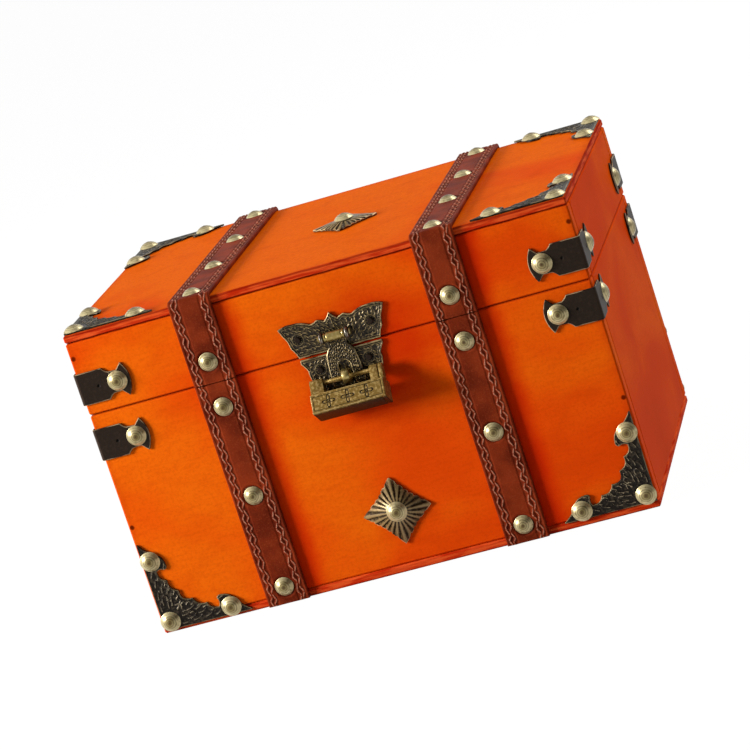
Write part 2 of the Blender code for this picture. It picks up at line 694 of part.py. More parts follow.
def add_hinge(shop, side, centre, brad):
    """Adds a butt hinge on the back: a box leaf with two knuckles, a lid leaf with one, and the pin."""
    middle = HINGE_WIDTH - HINGE_KNUCKLE * 2
    leaf_back = Vector((0, (HINGE_LEAF / 2 + SEAT_GAP) - HINGE_OUT, 0))
    half_leaf = Vector((0, 0, HINGE_LEAF_HEIGHT / 2))
    room_height = (KNUCKLE_RADIUS + SEAT_GAP) * 2
    at = Matrix.Translation
    leaf = block_mesh("hinge_leaf", (HINGE_WIDTH, HINGE_LEAF, HINGE_LEAF_HEIGHT))
    box_leaf = shop.add("hinge_leaf_box_" + side, leaf, "aged_brass", at(centre + leaf_back - half_leaf))
    lid_leaf = shop.add("hinge_leaf_lid_" + side, leaf, "aged_brass", at(centre + leaf_back + half_leaf))

    inner_room = block_mesh("inner_room", (middle + SEAT_GAP, HINGE_OUT * 2, room_height))
    cut(box_leaf, shop.add_cutter("inner_room_" + side, inner_room, at(centre)))
    outer_room = block_mesh("outer_room", (HINGE_KNUCKLE + SEAT_GAP / 2 + OVERRUN, HINGE_OUT * 2, room_height))
    room_x = (HINGE_WIDTH - HINGE_KNUCKLE - SEAT_GAP / 2 + OVERRUN) / 2
    outer_knuckle = rod_mesh("outer_knuckle", KNUCKLE_RADIUS, HINGE_KNUCKLE - SEAT_GAP / 2)
    knuckle_x = (HINGE_WIDTH - HINGE_KNUCKLE + SEAT_GAP / 2) / 2
    for n, sign in enumerate((-1, 1)):
        aside = Vector((sign * room_x, 0, 0))
        cut(lid_leaf, shop.add_cutter(f"outer_room_{side}_{n}", outer_room, at(centre + aside)))
        aside = Vector((sign * knuckle_x, 0, 0))
        join(box_leaf, shop.add_cutter(f"outer_knuckle_{side}_{n}", outer_knuckle, at(centre + aside)))
    inner_knuckle = rod_mesh("inner_knuckle", KNUCKLE_RADIUS, middle - SEAT_GAP)
    join(lid_leaf, shop.add_cutter("inner_knuckle_" + side, inner_knuckle, at(centre)))

    bore_mesh = rod_mesh("hinge_bore", HINGE_PIN_RADIUS + PIN_CLEARANCE, HINGE_WIDTH + OVERRUN)
    bore = shop.add_cutter("hinge_bore_" + side, bore_mesh, at(centre))
    for leaf_name, leaf, sign in (("box", box_leaf, -1), ("lid", lid_leaf, 1)):
        cut(leaf, bore)
        heads = scatter_mesh("leaf_brads", brad, hinge_brads(centre, sign))
        join(leaf, shop.add_cutter(f"leaf_brads_{leaf_name}_{side}", heads))
    shop.add("hinge_pin_" + side, rod_mesh("hinge_pin", HINGE_PIN_RADIUS, HINGE_WIDTH), "steel", at(centre))
    return box_leaf, lid_leaf


def add_latch_brads(shop, prefix, brad, x, up):
    """Adds the two brads of a latch plate, and lists their places."""
    out = LATCH_FACE + SEAT_GAP
    places = [facing(FRONT, on_face(FRONT, LATCH_X + sign * x, up, out)) for sign in SIDES.values()]
    return [shop.add(prefix + side, brad, "aged_brass", place) for side, place in zip(SIDES, places)], places


def add_hasp(shop):
    """Adds the upper latch plate with its two rings, the hasp that hangs between them and their pin."""
    at_pin = Matrix.Translation(on_face(FRONT, LATCH_X, HASP_PIN_HEIGHT, HASP_PIN_OUT))
    ring_x = HASP_BARREL_WIDTH / 2 + RING_GAP + RING_WIDTH / 2
    path = with_arcs(with_mirror(sized(UPPER_EDGE_SHARES, UPPER_HALF_SPAN, UPPER_RISE), flip_across))
    upper = shop.add(
        "latch_plate_upper", plate_mesh("latch_plate_upper", path, LATCH_THICKNESS), "aged_brass",
        facing(FRONT, on_face(FRONT, LATCH_X, LID_BOTTOM, SEAT_GAP)))
    ring = rod_mesh("ring", RING_RADIUS, RING_WIDTH)
    foot_depth = HASP_PIN_OUT - LATCH_FACE + LATCH_THICKNESS / 2
    foot = block_mesh("ring_foot", (RING_FOOT_WIDTH, foot_depth, RING_FOOT_HEIGHT))
    for n, x in enumerate((-ring_x, ring_x)):
        join(upper, shop.add_cutter(f"ring_foot_{n}", foot, at_pin @ Matrix.Translation((x, foot_depth / 2, 0))))
        join(upper, shop.add_cutter(f"ring_{n}", ring, at_pin @ Matrix.Translation((x, 0, 0))))
    bore_mesh = rod_mesh("hasp_pin_bore", HASP_PIN_RADIUS + PIN_CLEARANCE, (ring_x + RING_WIDTH) * 2)
    bore = shop.add_cutter("hasp_pin_bore", bore_mesh, at_pin)
    cut(upper, bore)

    shaft = (ring_x + RING_WIDTH / 2 + SEAT_GAP) * 2
    pin = shop.add("hasp_pin", rod_mesh("hasp_pin", HASP_PIN_RADIUS, shaft + HASP_PIN_HEAD), "aged_brass", at_pin)
    pin_head = rod_mesh("pin_head", HASP_PIN_HEAD_RADIUS, HASP_PIN_HEAD)
    for n, side in enumerate((-1, 1)):
        aside = Matrix.Translation((side * (shaft + HASP_PIN_HEAD) / 2, 0, 0))
        join(pin, shop.add_cutter(f"pin_head_{n}", pin_head, at_pin @ aside))

    path = with_arcs(with_mirror(sized(HASP_EDGE_SHARES, HASP_HALF_WIDTH, HASP_DROP), flip_across))
    hasp = shop.add(
        "hasp", plate_mesh("hasp", path, HASP_THICKNESS), "aged_brass",
        facing(FRONT, on_face(FRONT, LATCH_X, HASP_PIN_HEIGHT, LATCH_FACE + HASP_LIFT), HALF_TURN))
    join(hasp, shop.add_cutter("barrel", rod_mesh("barrel", HASP_BARREL_RADIUS, HASP_BARREL_WIDTH), at_pin))
    cut(hasp, bore)
    return upper, pin, hasp


def add_staple(shop, front_panel):
    """Adds the lower latch plate and the staple ring whose foot passes through it into the front panel."""
    path = with_arcs(with_mirror(sized(LOWER_EDGE_SHARES, LOWER_HALF_SPAN, LOWER_DROP), flip_across))
    lower = shop.add(
        "latch_plate_lower", plate_mesh("latch_plate_lower", path, LATCH_THICKNESS), "aged_brass",
        facing(FRONT, on_face(FRONT, LATCH_X, PARTING_HEIGHT, SEAT_GAP), HALF_TURN))
    at_staple = Matrix.Translation(on_face(FRONT, LATCH_X, STAPLE_HEIGHT, STAPLE_OUT))
    staple = shop.add("latch_staple", rod_mesh("latch_staple", STAPLE_RADIUS, STAPLE_WIDTH), "aged_brass", at_staple)
    stem = STAPLE_OUT + STAPLE_FOOT_DEPTH
    at_stem = Matrix.Translation(on_face(FRONT, LATCH_X, STAPLE_HEIGHT, STAPLE_OUT - stem / 2))
    foot = Vector((STAPLE_FOOT_WIDTH, stem, STAPLE_FOOT_HEIGHT))
    join(staple, shop.add_cutter("staple_foot", block_mesh("staple_foot", foot), at_stem))
    eye = rod_mesh("staple_eye", STAPLE_HOLE_RADIUS, STAPLE_WIDTH + OVERRUN)
    cut(staple, shop.add_cutter("staple_eye", eye, at_staple))
    room_size = (
        STAPLE_WIDTH + BORE_CLEARANCE * 2, stem + BORE_CLEARANCE * 2, STAPLE_FOOT_HEIGHT + BORE_CLEARANCE * 2)
    room = shop.add_cutter("staple_room", block_mesh("staple_room", room_size), at_stem)
    cut(lower, room)
    cut(front_panel, room)
    return lower


def ear_top(foot):
    """Lists the corners of the rounded top of the padlock's ear above a foot, from its front round to its back."""
    return [
        (EAR_HALF_DEPTH, foot), (EAR_HALF_DEPTH, EAR_SHOULDER), (EAR_TOP_HALF_DEPTH, EAR_RISE),
        (-EAR_TOP_HALF_DEPTH, EAR_RISE), (-EAR_HALF_DEPTH, EAR_SHOULDER), (-EAR_HALF_DEPTH, foot)]


def add_room(shop, name, low, high):
    """Adds a box-shaped cutter between two corners that are given across, outward and upward."""
    low, high = Vector((low[0], -high[1], low[2])), Vector((high[0], -low[1], high[2]))
    return shop.add_cutter(name, block_mesh(name, high - low), Matrix.Translation((low + high) / 2))


def add_lock(shop, pivot, slider):
    """Adds the bar padlock in its own frame: case, shackle and springs."""
    half = LOCK_WIDTH / 2
    bottom = -LOCK_TOP - LOCK_BODY_HEIGHT
    plate_start = half - END_PLATE
    case_start = LOCK_END_INSET - half
    case_end = plate_start - SEAT_GAP
    face = LOCK_FRONT + LOCK_FACE_PROUD
    face_back = face - LOCK_FACE
    low, high = Vector((case_start, -LOCK_FRONT, bottom)), Vector((case_end, LOCK_BACK, -LOCK_TOP))
    case = shop.add(
        "lock_case", block_mesh("lock_case", high - low), "lock_brass", Matrix.Translation((low + high) / 2))
    ear_start = half - EAR_WIDTH
    ear_path = ear_top(-LOCK_TOP - OVERRUN)
    left_ear = plate_mesh("left_ear", ear_path, EAR_WIDTH)
    right_width = case_end - LOCK_END_INSET - ear_start
    right_ear = plate_mesh("right_ear", ear_path, right_width)
    solids = [
        add_room(shop, "lock_face", (-half, face_back, bottom + LOCK_FACE_INSET),
                 (half, face, -LOCK_TOP - LOCK_FACE_INSET)),
        shop.add_cutter("left_ear", left_ear, profile_matrix(-ear_start - EAR_WIDTH / 2, EAR_WIDTH)),
        shop.add_cutter("right_ear", right_ear, profile_matrix(ear_start + right_width / 2, right_width)),
    ]
    join(case, *solids)

    past_end = half + OVERRUN
    cavity_start = CAVITY_WALL - half
    cavity_back, cavity_front = -ROD_BACK - CAVITY_DEPTH / 2, -ROD_BACK + CAVITY_DEPTH / 2
    mouth_back, mouth_front = -ROD_BACK - MOUTH_DEPTH / 2, -ROD_BACK + MOUTH_DEPTH / 2
    mouth_start = case_end - MOUTH_LENGTH
    bar_end = -ear_start - BAR_BITE
    hole_start = bar_end - PIN_CLEARANCE
    hole_mesh = rod_mesh("bar_hole", BAR_RADIUS + PIN_CLEARANCE, past_end - hole_start)
    half_cavity, half_mouth, half_key = CAVITY_HEIGHT / 2, MOUTH_HEIGHT / 2, KEYHOLE_HEIGHT / 2
    rooms = [
        shop.add_cutter("bar_hole", hole_mesh, Matrix.Translation(((past_end + hole_start) / 2, 0, 0))),
        add_room(shop, "cavity", (cavity_start, cavity_back, -ROD_DROP - half_cavity),
                 (mouth_start, cavity_front, -ROD_DROP + half_cavity)),
        add_room(shop, "mouth", (mouth_start - OVERRUN, mouth_back, -ROD_DROP - half_mouth),
                 (past_end, mouth_front, -ROD_DROP + half_mouth)),
        add_room(shop, "keyhole", (-past_end, -ROD_BACK - KEYHOLE_WIDTH / 2, -ROD_DROP - half_key),
                 (cavity_start + OVERRUN, -ROD_BACK + KEYHOLE_WIDTH / 2, -ROD_DROP + half_key)),
    ]
    cut(case, *rooms)

    plate_front = face_back - SEAT_GAP
    end_path = [(-LOCK_BACK, -LOCK_TOP), (-LOCK_BACK, bottom), (plate_front, bottom), (plate_front, -LOCK_TOP)]
    plate_middle = plate_start + END_PLATE / 2
    shackle = shop.add(
        "lock_shackle", plate_mesh("lock_shackle", end_path + ear_top(-LOCK_TOP), END_PLATE), "lock_brass",
        profile_matrix(plate_middle, END_PLATE))
    bar = rod_mesh("bar", BAR_RADIUS, plate_middle - bar_end)
    half_rod = ROD_SIDE / 2
    bars = [
        shop.add_cutter("bar", bar, Matrix.Translation(((plate_middle + bar_end) / 2, 0, 0))),
        add_room(shop, "inner_rod", (-ROD_REACH, -ROD_BACK - half_rod, -ROD_DROP - half_rod),
                 (plate_middle, -ROD_BACK + half_rod, -ROD_DROP + half_rod)),
    ]
    join(shackle, *bars)

    root = half_rod + SEAT_GAP
    root_end = -ROD_REACH - SEAT_GAP
    tip = mouth_start - SPRING_STOP_GAP
    half_spring = [
        (root_end, -root, 0.0), (tip, SPRING_THICKNESS - SPRING_SPREAD, 0.0), (tip, -SPRING_SPREAD, 0.0),
        (root_end - SPRING_THICKNESS, -root - SPRING_THICKNESS, 0.0)]
    spring_path = [Vector((x, y - ROD_DROP)) for x, y, _ in with_mirror(half_spring, flip_along)]
    springs = shop.add(
        "lock_springs", plate_mesh("lock_springs", spring_path, ROD_SIDE), "steel",
        facing(FRONT, Vector((0, ROD_BACK + half_rod, 0))))
    for piece in [case, *solids, *rooms]:
        piece.parent = pivot
    for piece in [shackle, springs, *bars]:
        piece.parent = slider


def main():
    """Builds the whole box."""
    for old in list(bpy.data.objects):
        bpy.data.objects.remove(old)
    shop = Shop(new_collection("wooden_storage_box"), new_collection("cutters"), {
        "wood": new_material("wood", (0.71, 0.17, 0.02), 0.4, 0.0),
        "leather": new_material("leather", (0.2, 0.04, 0.02), 0.6, 0.0),
        "dark_brass": new_material("dark_brass", (0.09, 0.07, 0.04), 0.45, 1.0),
        "aged_brass": new_material("aged_brass", (0.4, 0.3, 0.13), 0.4, 1.0),
        "bright_brass": new_material("bright_brass", (0.6, 0.46, 0.2), 0.3, 1.0),
        "lock_brass": new_material("lock_brass", (0.2, 0.15, 0.05), 0.45, 1.0),
        "steel": new_material("steel", (0.35, 0.34, 0.32), 0.35, 1.0),
    })
    tack = tack_mesh(shop, TACK_RADIUS, TACK_HEIGHT)
    strap_tack = tack_mesh(shop, STRAP_TACK_RADIUS, STRAP_TACK_HEIGHT)
    brad = brad_mesh(shop)
    top_bottom = BOX_HEIGHT - BOARD
    add_board(shop, "bottom_panel", (-HALF_WIDTH, -HALF_DEPTH, 0), (HALF_WIDTH, HALF_DEPTH, BOARD))
    top = add_board(
        shop, "lid_top_panel", (-HALF_WIDTH, -HALF_DEPTH, top_bottom), (HALF_WIDTH, HALF_DEPTH, BOX_HEIGHT))
    box_panels = add_frame(shop, "", BOARD + SEAT_GAP, PARTING_HEIGHT)
    lid_panels = add_frame(shop, "lid_", LID_BOTTOM, top_bottom - SEAT_GAP)
    box_tacks = add_body_straps(shop, strap_tack)
    lid_straps, lid_tacks = add_lid_straps(shop, strap_tack)
    clips, clip_tacks = add_clips(shop, tack)
    plates, plate_tacks = add_corner_plates(shop, tack)

    medallion = medallion_mesh()
    seats = {
        "front": facing(FRONT, on_face(FRONT, MEDALLION_X, MEDALLION_HEIGHT, SEAT_GAP), MEDALLION_TURN),
        "lid": facing(TOP, on_face(TOP, LID_MEDALLION_X, LID_MEDALLION_Y, SEAT_GAP))}
    medallions, medallion_tacks = {}, {}
    for name, seat in seats.items():
        above = seat @ Matrix.Translation((0, 0, MEDALLION_CROWN + SEAT_GAP))
        medallions[name] = shop.add(name + "_medallion", medallion, "dark_brass", seat)
        medallion_tacks[name] = shop.add(name + "_medallion_tack", tack, "bright_brass", above)
    tack_bore = spike_mesh(
        "tack_bore", TACK_ROOT_SIDE + BORE_CLEARANCE * 2, TACK_TIP_SIDE + BORE_CLEARANCE * 2,
        -TACK_SHANK - BORE_CLEARANCE, 0)
    box_tacks += [*clip_tacks["box"], *plate_tacks["box"], medallion_tacks["front"].matrix_world.copy()]
    lid_tacks += [*clip_tacks["lid"], *plate_tacks["lid"], medallion_tacks["lid"].matrix_world.copy()]
    cut_bores(shop, "box_tack_bores", tack_bore, box_tacks, [*box_panels, medallions["front"]])
    cut_bores(shop, "lid_tack_bores", tack_bore, lid_tacks, [top, *lid_panels, medallions["lid"]])

    upper, hasp_pin, hasp = add_hasp(shop)
    lower = add_staple(shop, box_panels[0])
    box_leaves, lid_leaves = [], []
    brad_side = BRAD_SIDE + BORE_CLEARANCE * 2
    brad_bore = spike_mesh("brad_bore", brad_side, brad_side, -BRAD_SHANK - BORE_CLEARANCE, 0)
    up = PARTING_HEIGHT - LOWER_BRAD_DROP
    _, box_brads = add_latch_brads(shop, "latch_brad_lower_", brad, LOWER_BRAD_X, up)
    up = LID_BOTTOM + UPPER_BRAD_RISE
    upper_brads, lid_brads = add_latch_brads(shop, "latch_brad_upper_", brad, UPPER_BRAD_X, up)
    for side, sign in SIDES.items():
        centre = Vector((sign * HINGE_X, HALF_DEPTH + HINGE_OUT, HINGE_HEIGHT))
        box_leaf, lid_leaf = add_hinge(shop, side, centre, brad)
        box_leaves.append(box_leaf)
        lid_leaves.append(lid_leaf)
        box_brads += hinge_brads(centre, -1)
        lid_brads += hinge_brads(centre, 1)
    cut_bores(shop, "box_brad_bores", brad_bore, box_brads, [*box_panels[:2], lower])
    cut_bores(shop, "lid_brad_bores", brad_bore, lid_brads, [*lid_panels[:2], upper])

    lid_pivot = add_pivot(shop, "lid_pivot", (0, HALF_DEPTH + HINGE_OUT, HINGE_HEIGHT))
    hasp_pivot = add_pivot(shop, "hasp_pivot", on_face(FRONT, LATCH_X, HASP_PIN_HEIGHT, HASP_PIN_OUT))
    lock_pivot = add_pivot(shop, "lock_pivot", on_face(FRONT, LOCK_X, BAR_HEIGHT, BAR_OUT), LOCK_LEAN)
    slider = add_pivot(shop, "shackle_pivot", (0, 0, 0))
    slider.parent = lock_pivot
    add_lock(shop, lock_pivot, slider)
    hang_on([hasp], hasp_pivot)
    hang_on([
        top, *lid_panels, *lid_straps, *clips["lid"], *plates["lid"], medallions["lid"], medallion_tacks["lid"],
        upper, hasp_pin, *upper_brads, *lid_leaves, hasp_pivot], lid_pivot)


main()
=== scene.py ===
"""Looks of the wooden storage box: boards, straps, tacks, clips, plates, medallions, latch, padlock, hinges.

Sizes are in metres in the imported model's frame: X to the right, Y to the back, Z up, origin under the middle.
"""

import json
import logging
import math
from collections.abc import Callable, Sequence
from dataclasses import dataclass, field
from enum import Enum

import bmesh
import bpy
import numpy as np
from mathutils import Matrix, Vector
from mathutils.geometry import delaunay_2d_cdt


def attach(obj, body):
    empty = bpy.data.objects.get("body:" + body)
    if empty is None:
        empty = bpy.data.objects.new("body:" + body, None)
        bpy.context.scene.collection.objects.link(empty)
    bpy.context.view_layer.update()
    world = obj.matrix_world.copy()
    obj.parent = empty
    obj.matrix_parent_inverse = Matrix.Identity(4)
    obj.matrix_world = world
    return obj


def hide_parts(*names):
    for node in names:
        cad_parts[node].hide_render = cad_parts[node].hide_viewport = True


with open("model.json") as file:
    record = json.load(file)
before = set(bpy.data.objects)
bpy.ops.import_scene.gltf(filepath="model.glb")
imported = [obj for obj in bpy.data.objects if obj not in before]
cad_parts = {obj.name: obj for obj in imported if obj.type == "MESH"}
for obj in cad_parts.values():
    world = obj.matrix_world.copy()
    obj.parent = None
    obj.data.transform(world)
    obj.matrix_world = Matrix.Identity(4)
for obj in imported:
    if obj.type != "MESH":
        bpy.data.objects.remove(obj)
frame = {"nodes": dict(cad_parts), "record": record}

LOG = logging.getLogger("storage_box")

MM = 0.001
BOX_WIDTH = 240 * MM
BOX_DEPTH = 168 * MM
BOX_HEIGHT = 148 * MM
HALF_WIDTH = BOX_WIDTH / 2
HALF_DEPTH = BOX_DEPTH / 2
BOARD = 3.6 * MM
PARTING_HEIGHT = 109 * MM
LID_BOTTOM = 109.4 * MM
SEAT_GAP = 0.3 * MM
TACK_SINK = 0.3 * MM
STRAP_PLACE = 57.8 * MM
STRAP_WIDTH = 20 * MM
# Centre of the red round the latch: stain, deepened by the painted shadow of latch and padlock.
LATCH_PLACE = (14 * MM, -HALF_DEPTH, 102 * MM)
PIN_INSET = 1.6 * MM
PIN_HEIGHTS = (53.2 * MM, 136.8 * MM)
WELD = 0.001 * MM
SHARP_ANGLE = math.radians(50)
BEVEL_ANGLE = math.radians(35)
FLAT_ANGLE = math.radians(1)
PAIRS_AT_ONCE = 2_000_000

SIDES = {"left": -1, "right": 1}
ENDS = {"front": -1, "back": 1}

ACROSS = ((-1, 0), (0, 1))
ALONG = ((1, 0), (0, -1))
DIAGONAL = ((0, 1), (1, 0))

WHITE = (1.0, 1.0, 1.0, 1.0)

Pair = tuple[float, float]
Triple = tuple[float, float, float]
Colour = tuple[float, float, float, float]
Rows = Sequence[Sequence[float]]
Relief = Callable[[np.ndarray, np.ndarray], tuple[np.ndarray, np.ndarray]]


class Face(Enum):
    """Outward direction of each face that carries pieces."""

    FRONT = (0, -1, 0)
    BACK = (0, 1, 0)
    LEFT = (-1, 0, 0)
    RIGHT = (1, 0, 0)
    TOP = (0, 0, 1)


class Grain(Enum):
    """Stretch of the wood's fibres: short steps across the grain, long ones along it."""

    ALONG_WIDTH = (140, 1100, 1100)
    ALONG_DEPTH = (1100, 140, 1100)


class Mark(Enum):
    """Names of the numbers that surfaces carry for their finishes."""

    RAISED = "raised"
    RIM = "rim"
    SPAN = "span"
    SWELL = "swell"


CORNERS = {
    "front_left": Face.FRONT, "front_right": Face.RIGHT,
    "back_right": Face.BACK, "back_left": Face.LEFT}


@dataclass
class Surface:
    """A closed shape before it is a mesh: points, arrays of faces and one number per point for each mark."""

    points: np.ndarray
    faces: list[np.ndarray]
    marks: dict[str, np.ndarray] = field(default_factory=dict)

    def volume(self) -> float:
        """Gives the signed volume: a sixth of the sum of a . (b x c) over the triangles of every face."""
        total = 0.0
        for corners in self.faces:
            for n in range(1, corners.shape[1] - 1):
                normal = np.cross(self.points[corners[:, n]], self.points[corners[:, n + 1]])
                total += float(np.einsum("ij,ij->", self.points[corners[:, 0]], normal))
        return total / 6

    def outwards(self) -> "Surface":
        """Gives the shape with its faces turned outwards."""
        if self.volume() < 0:
            return Surface(self.points, [corners[:, ::-1] for corners in self.faces], self.marks)
        return self

    def moved(self, matrix: np.ndarray) -> "Surface":
        """Gives the shape carried by a matrix of rotation and place."""
        return Surface(self.points @ matrix[:3, :3].T + matrix[:3, 3], self.faces, self.marks)

    def marked(self, mark: Mark, value: float | np.ndarray) -> "Surface":
        """Gives the shape with one more mark."""
        numbers = np.broadcast_to(np.asarray(value, dtype=float), (len(self.points),))
        return Surface(self.points, self.faces, {**self.marks, mark.value: numbers})


def joined(surfaces: Sequence[Surface]) -> Surface:
    """Puts several shapes into one list of points and faces.

    Args:
        surfaces: The shapes, each closed.

    Returns:
        One shape that holds them all; a mark that a shape lacks is zero there.
    """
    starts = np.cumsum([0] + [len(each.points) for each in surfaces])
    faces = [corners + start for each, start in zip(surfaces, starts) for corners in each.faces]
    names = {name for each in surfaces for name in each.marks}
    marks = {
        name: np.concatenate([each.marks.get(name, np.zeros(len(each.points))) for each in surfaces])
        for name in names}
    return Surface(np.concatenate([each.points for each in surfaces]), faces, marks)


def standing(face: Face, place: Sequence[float], turn: float = 0.0) -> np.ndarray:
    """Stands a shape's +Z on a face, with its +X to the right as seen from outside.

    Args:
        face: The face that carries the shape.
        place: Where the shape's origin goes.
        turn: Angle about the face's outward direction, in radians.

    Returns:
        A 4 x 4 matrix.
    """
    normal = np.array(face.value, dtype=float)
    up = np.array((0, 1, 0) if face is Face.TOP else (0, 0, 1), dtype=float)
    cosine, sine = math.cos(turn), math.sin(turn)
    spin = np.array(((cosine, -sine, 0), (sine, cosine, 0), (0, 0, 1)))
    matrix = np.eye(4)
    matrix[:3, :3] = np.column_stack((np.cross(up, normal), up, normal)) @ spin
    matrix[:3, 3] = place
    return matrix


def shifted(x: float = 0.0, y: float = 0.0, z: float = 0.0) -> np.ndarray:
    """Gives the matrix of a move without a turn."""
    matrix = np.eye(4)
    matrix[:3, 3] = (x, y, z)
    return matrix


def turned(axis: str, angle: float) -> np.ndarray:
    """Gives the matrix of a turn about one of the axes X, Y and Z."""
    matrix = np.eye(4)
    first, second = {"X": (1, 2), "Y": (2, 0), "Z": (0, 1)}[axis]
    matrix[first, first] = matrix[second, second] = math.cos(angle)
    matrix[first, second] = -math.sin(angle)
    matrix[second, first] = math.sin(angle)
    return matrix


def on_face(face: Face, across: float, up: float, out: float = 0.0) -> Triple:
    """Gives a place on the front, back or top of the box.

    Args:
        face: The front, back or top.
        across: Distance to the right of the middle, as +X runs.
        up: Height, or on top the distance to the back.
        out: Distance out from the wood.

    Returns:
        The place.
    """
    if face is Face.TOP:
        return across, up, BOX_HEIGHT + out
    return across, face.value[1] * (HALF_DEPTH + out), up


def seated(face: Face, across: float, up: float, out: float = SEAT_GAP, turn: float = 0.0) -> np.ndarray:
    """Stands a shape on a place of the front, back or top; the sizes are those of on_face and standing."""
    return standing(face, on_face(face, across, up, out), turn)


def smoothstep(low: float, high: float, value: np.ndarray) -> np.ndarray:
    """Rises from zero at low to one at high as 3t^2 - 2t^3."""
    share = np.clip((value - low) / (high - low), 0, 1)
    return share * share * (3 - 2 * share)


def grid_faces(rows: int, columns: int, closed: bool = False) -> np.ndarray:
    """Joins neighbouring points of a grid into quads.

    Args:
        rows: Number of rows of points.
        columns: Number of points in a row.
        closed: Whether each row runs round to its start.

    Returns:
        An array of four corners per face.
    """
    index = np.arange(rows * columns).reshape(rows, columns)
    if closed:
        index = np.hstack((index, index[:, :1]))
    corners = (index[:-1, :-1], index[1:, :-1], index[1:, 1:], index[:-1, 1:])
    return np.stack(corners, axis=-1).reshape(-1, 4)


def fan(ring: np.ndarray, centre: int) -> np.ndarray:
    """Joins a ring of points to a centre point with triangles."""
    return np.column_stack((ring, np.roll(ring, -1), np.full(len(ring), centre)))


def capped(points: np.ndarray, columns: int, centres: Rows) -> Surface:
    """Joins rings of points into a tube and closes its first and last ring towards a centre each.

    Args:
        points: The rings, one after the other.
        columns: Number of points in a ring.
        centres: The first and the last ring's centre, which become the last two points.

    Returns:
        The closed shape.
    """
    first, last = np.arange(columns), np.arange(len(points) - columns, len(points))
    walls = grid_faces(len(points) // columns, columns, closed=True)
    faces = [walls, fan(first, len(points)), fan(last[::-1], len(points) + 1)]
    return Surface(np.vstack((points, centres)), faces).outwards()


def lathe(profile: np.ndarray, sides: int) -> Surface:
    """Turns a profile about Z: a point (r, h) at angle a goes to (r cos a, r sin a, h).

    Args:
        profile: Rows of radius and height, from pole to pole.
        sides: Number of steps round.

    Returns:
        The turned shape, with each row's share of the widest radius as its span mark.
    """
    angles = np.linspace(0, math.tau, sides, endpoint=False)
    radius, height = profile[:, :1], profile[:, 1:]
    points = np.stack(
        (radius * np.cos(angles), radius * np.sin(angles), np.repeat(height, sides, axis=1)), axis=-1)
    span = np.repeat(profile[:, 0] / profile[:, 0].max(), sides)
    turned_shape = Surface(points.reshape(-1, 3), [grid_faces(len(profile), sides, closed=True)])
    return turned_shape.outwards().marked(Mark.SPAN, span)


def spindle(profile: np.ndarray, sides: int, centre: Sequence[float]) -> Surface:
    """Turns a profile of radius and distance about a line that runs along X through a centre."""
    return lathe(profile, sides).moved(shifted(*centre) @ turned("Y", math.pi / 2))


def walked(corners: np.ndarray, step: float) -> np.ndarray:
    """Walks a closed outline: start + chord t + outward 4 bulge t (1 - t) on each run.

    Args:
        corners: Rows of x, y and the bulge of the run that follows, anticlockwise.
        step: Distance between the points.

    Returns:
        Rows of x and y.
    """
    runs = []
    for (x, y, bulge), following in zip(corners, np.roll(corners, -1, axis=0)):
        start = np.array((x, y))
        chord = following[:2] - start
        length = np.hypot(*chord)
        outward = np.array((chord[1], -chord[0])) / length
        share = np.linspace(0, 1, max(1, round((length + abs(bulge)) / step)), endpoint=False)[:, None]
        runs.append(start + chord * share + outward * bulge * 4 * share * (1 - share))
    return np.concatenate(runs)


def with_mirror(half: np.ndarray, flip: Rows) -> np.ndarray:
    """Closes half an outline with its mirror image, walked back.

    Args:
        half: Rows of x, y and bulge.
        flip: The 2 x 2 matrix of the mirror.

    Returns:
        Rows of the whole outline.
    """
    flipped = half[:, :2] @ np.array(flip, dtype=float)
    mirror = np.column_stack((flipped[1:], half[:-1, 2]))[::-1]
    mirror = np.vstack((mirror, (*flipped[0], 0.0)))
    if np.allclose(mirror[0, :2], half[-1, :2]):
        half = half[:-1]
    if np.allclose(mirror[-1, :2], half[0, :2]):
        mirror = mirror[:-1]
    return np.vstack((half, mirror))


def rectangle(half_width: float, half_height: float) -> np.ndarray:
    """Gives the corners of a rectangle about the origin, with straight runs."""
    return np.array(((-1, -1, 0), (1, -1, 0), (1, 1, 0), (-1, 1, 0))) * (half_width, half_height, 0)


def sized(shares: Rows, across: float, up: float) -> np.ndarray:
    """Turns rows of shares (across, up, bulge) into metres."""
    return np.array(shares) * (across, up, across)


def bell(value: np.ndarray, middle: float, width: float) -> np.ndarray:
    """Gives exp(-((value - middle) / width)^2)."""
    return np.exp(-((value - middle) / width) ** 2)


def in_chunks(points: np.ndarray, others: np.ndarray, work: Callable[[np.ndarray], np.ndarray]) -> np.ndarray:
    """Works on points a few at a time, so that a table of points by others stays small.

    Args:
        points: Rows of x and y.
        others: The rows that each point is compared with.
        work: Gives one number for each of some points.

    Returns:
        The numbers of all points.
    """
    chunks = np.array_split(points, max(1, len(points) * len(others) // PAIRS_AT_ONCE))
    return np.concatenate([work(some) for some in chunks])


def path_distance(points: np.ndarray, path: np.ndarray) -> np.ndarray:
    """Gives each point's distance to the nearest run of a path: |p - (start + run t)| with t held in 0 to 1.

    Args:
        points: Rows of x and y.
        path: Rows of x and y, in order.

    Returns:
        One distance per point.
    """
    start, run = path[:-1], np.diff(path, axis=0)

    def nearest(some: np.ndarray) -> np.ndarray:
        """Gives the distances of some of the points."""
        away = some[:, None] - start
        share = np.clip((away * run).sum(-1) / (run * run).sum(-1), 0, 1)
        return np.sqrt(((away - share[..., None] * run) ** 2).sum(-1)).min(1)

    return in_chunks(points, path, nearest)


def closed_path(outline: np.ndarray) -> np.ndarray:
    """Repeats an outline's first point at its end."""
    return np.vstack((outline, outline[:1]))


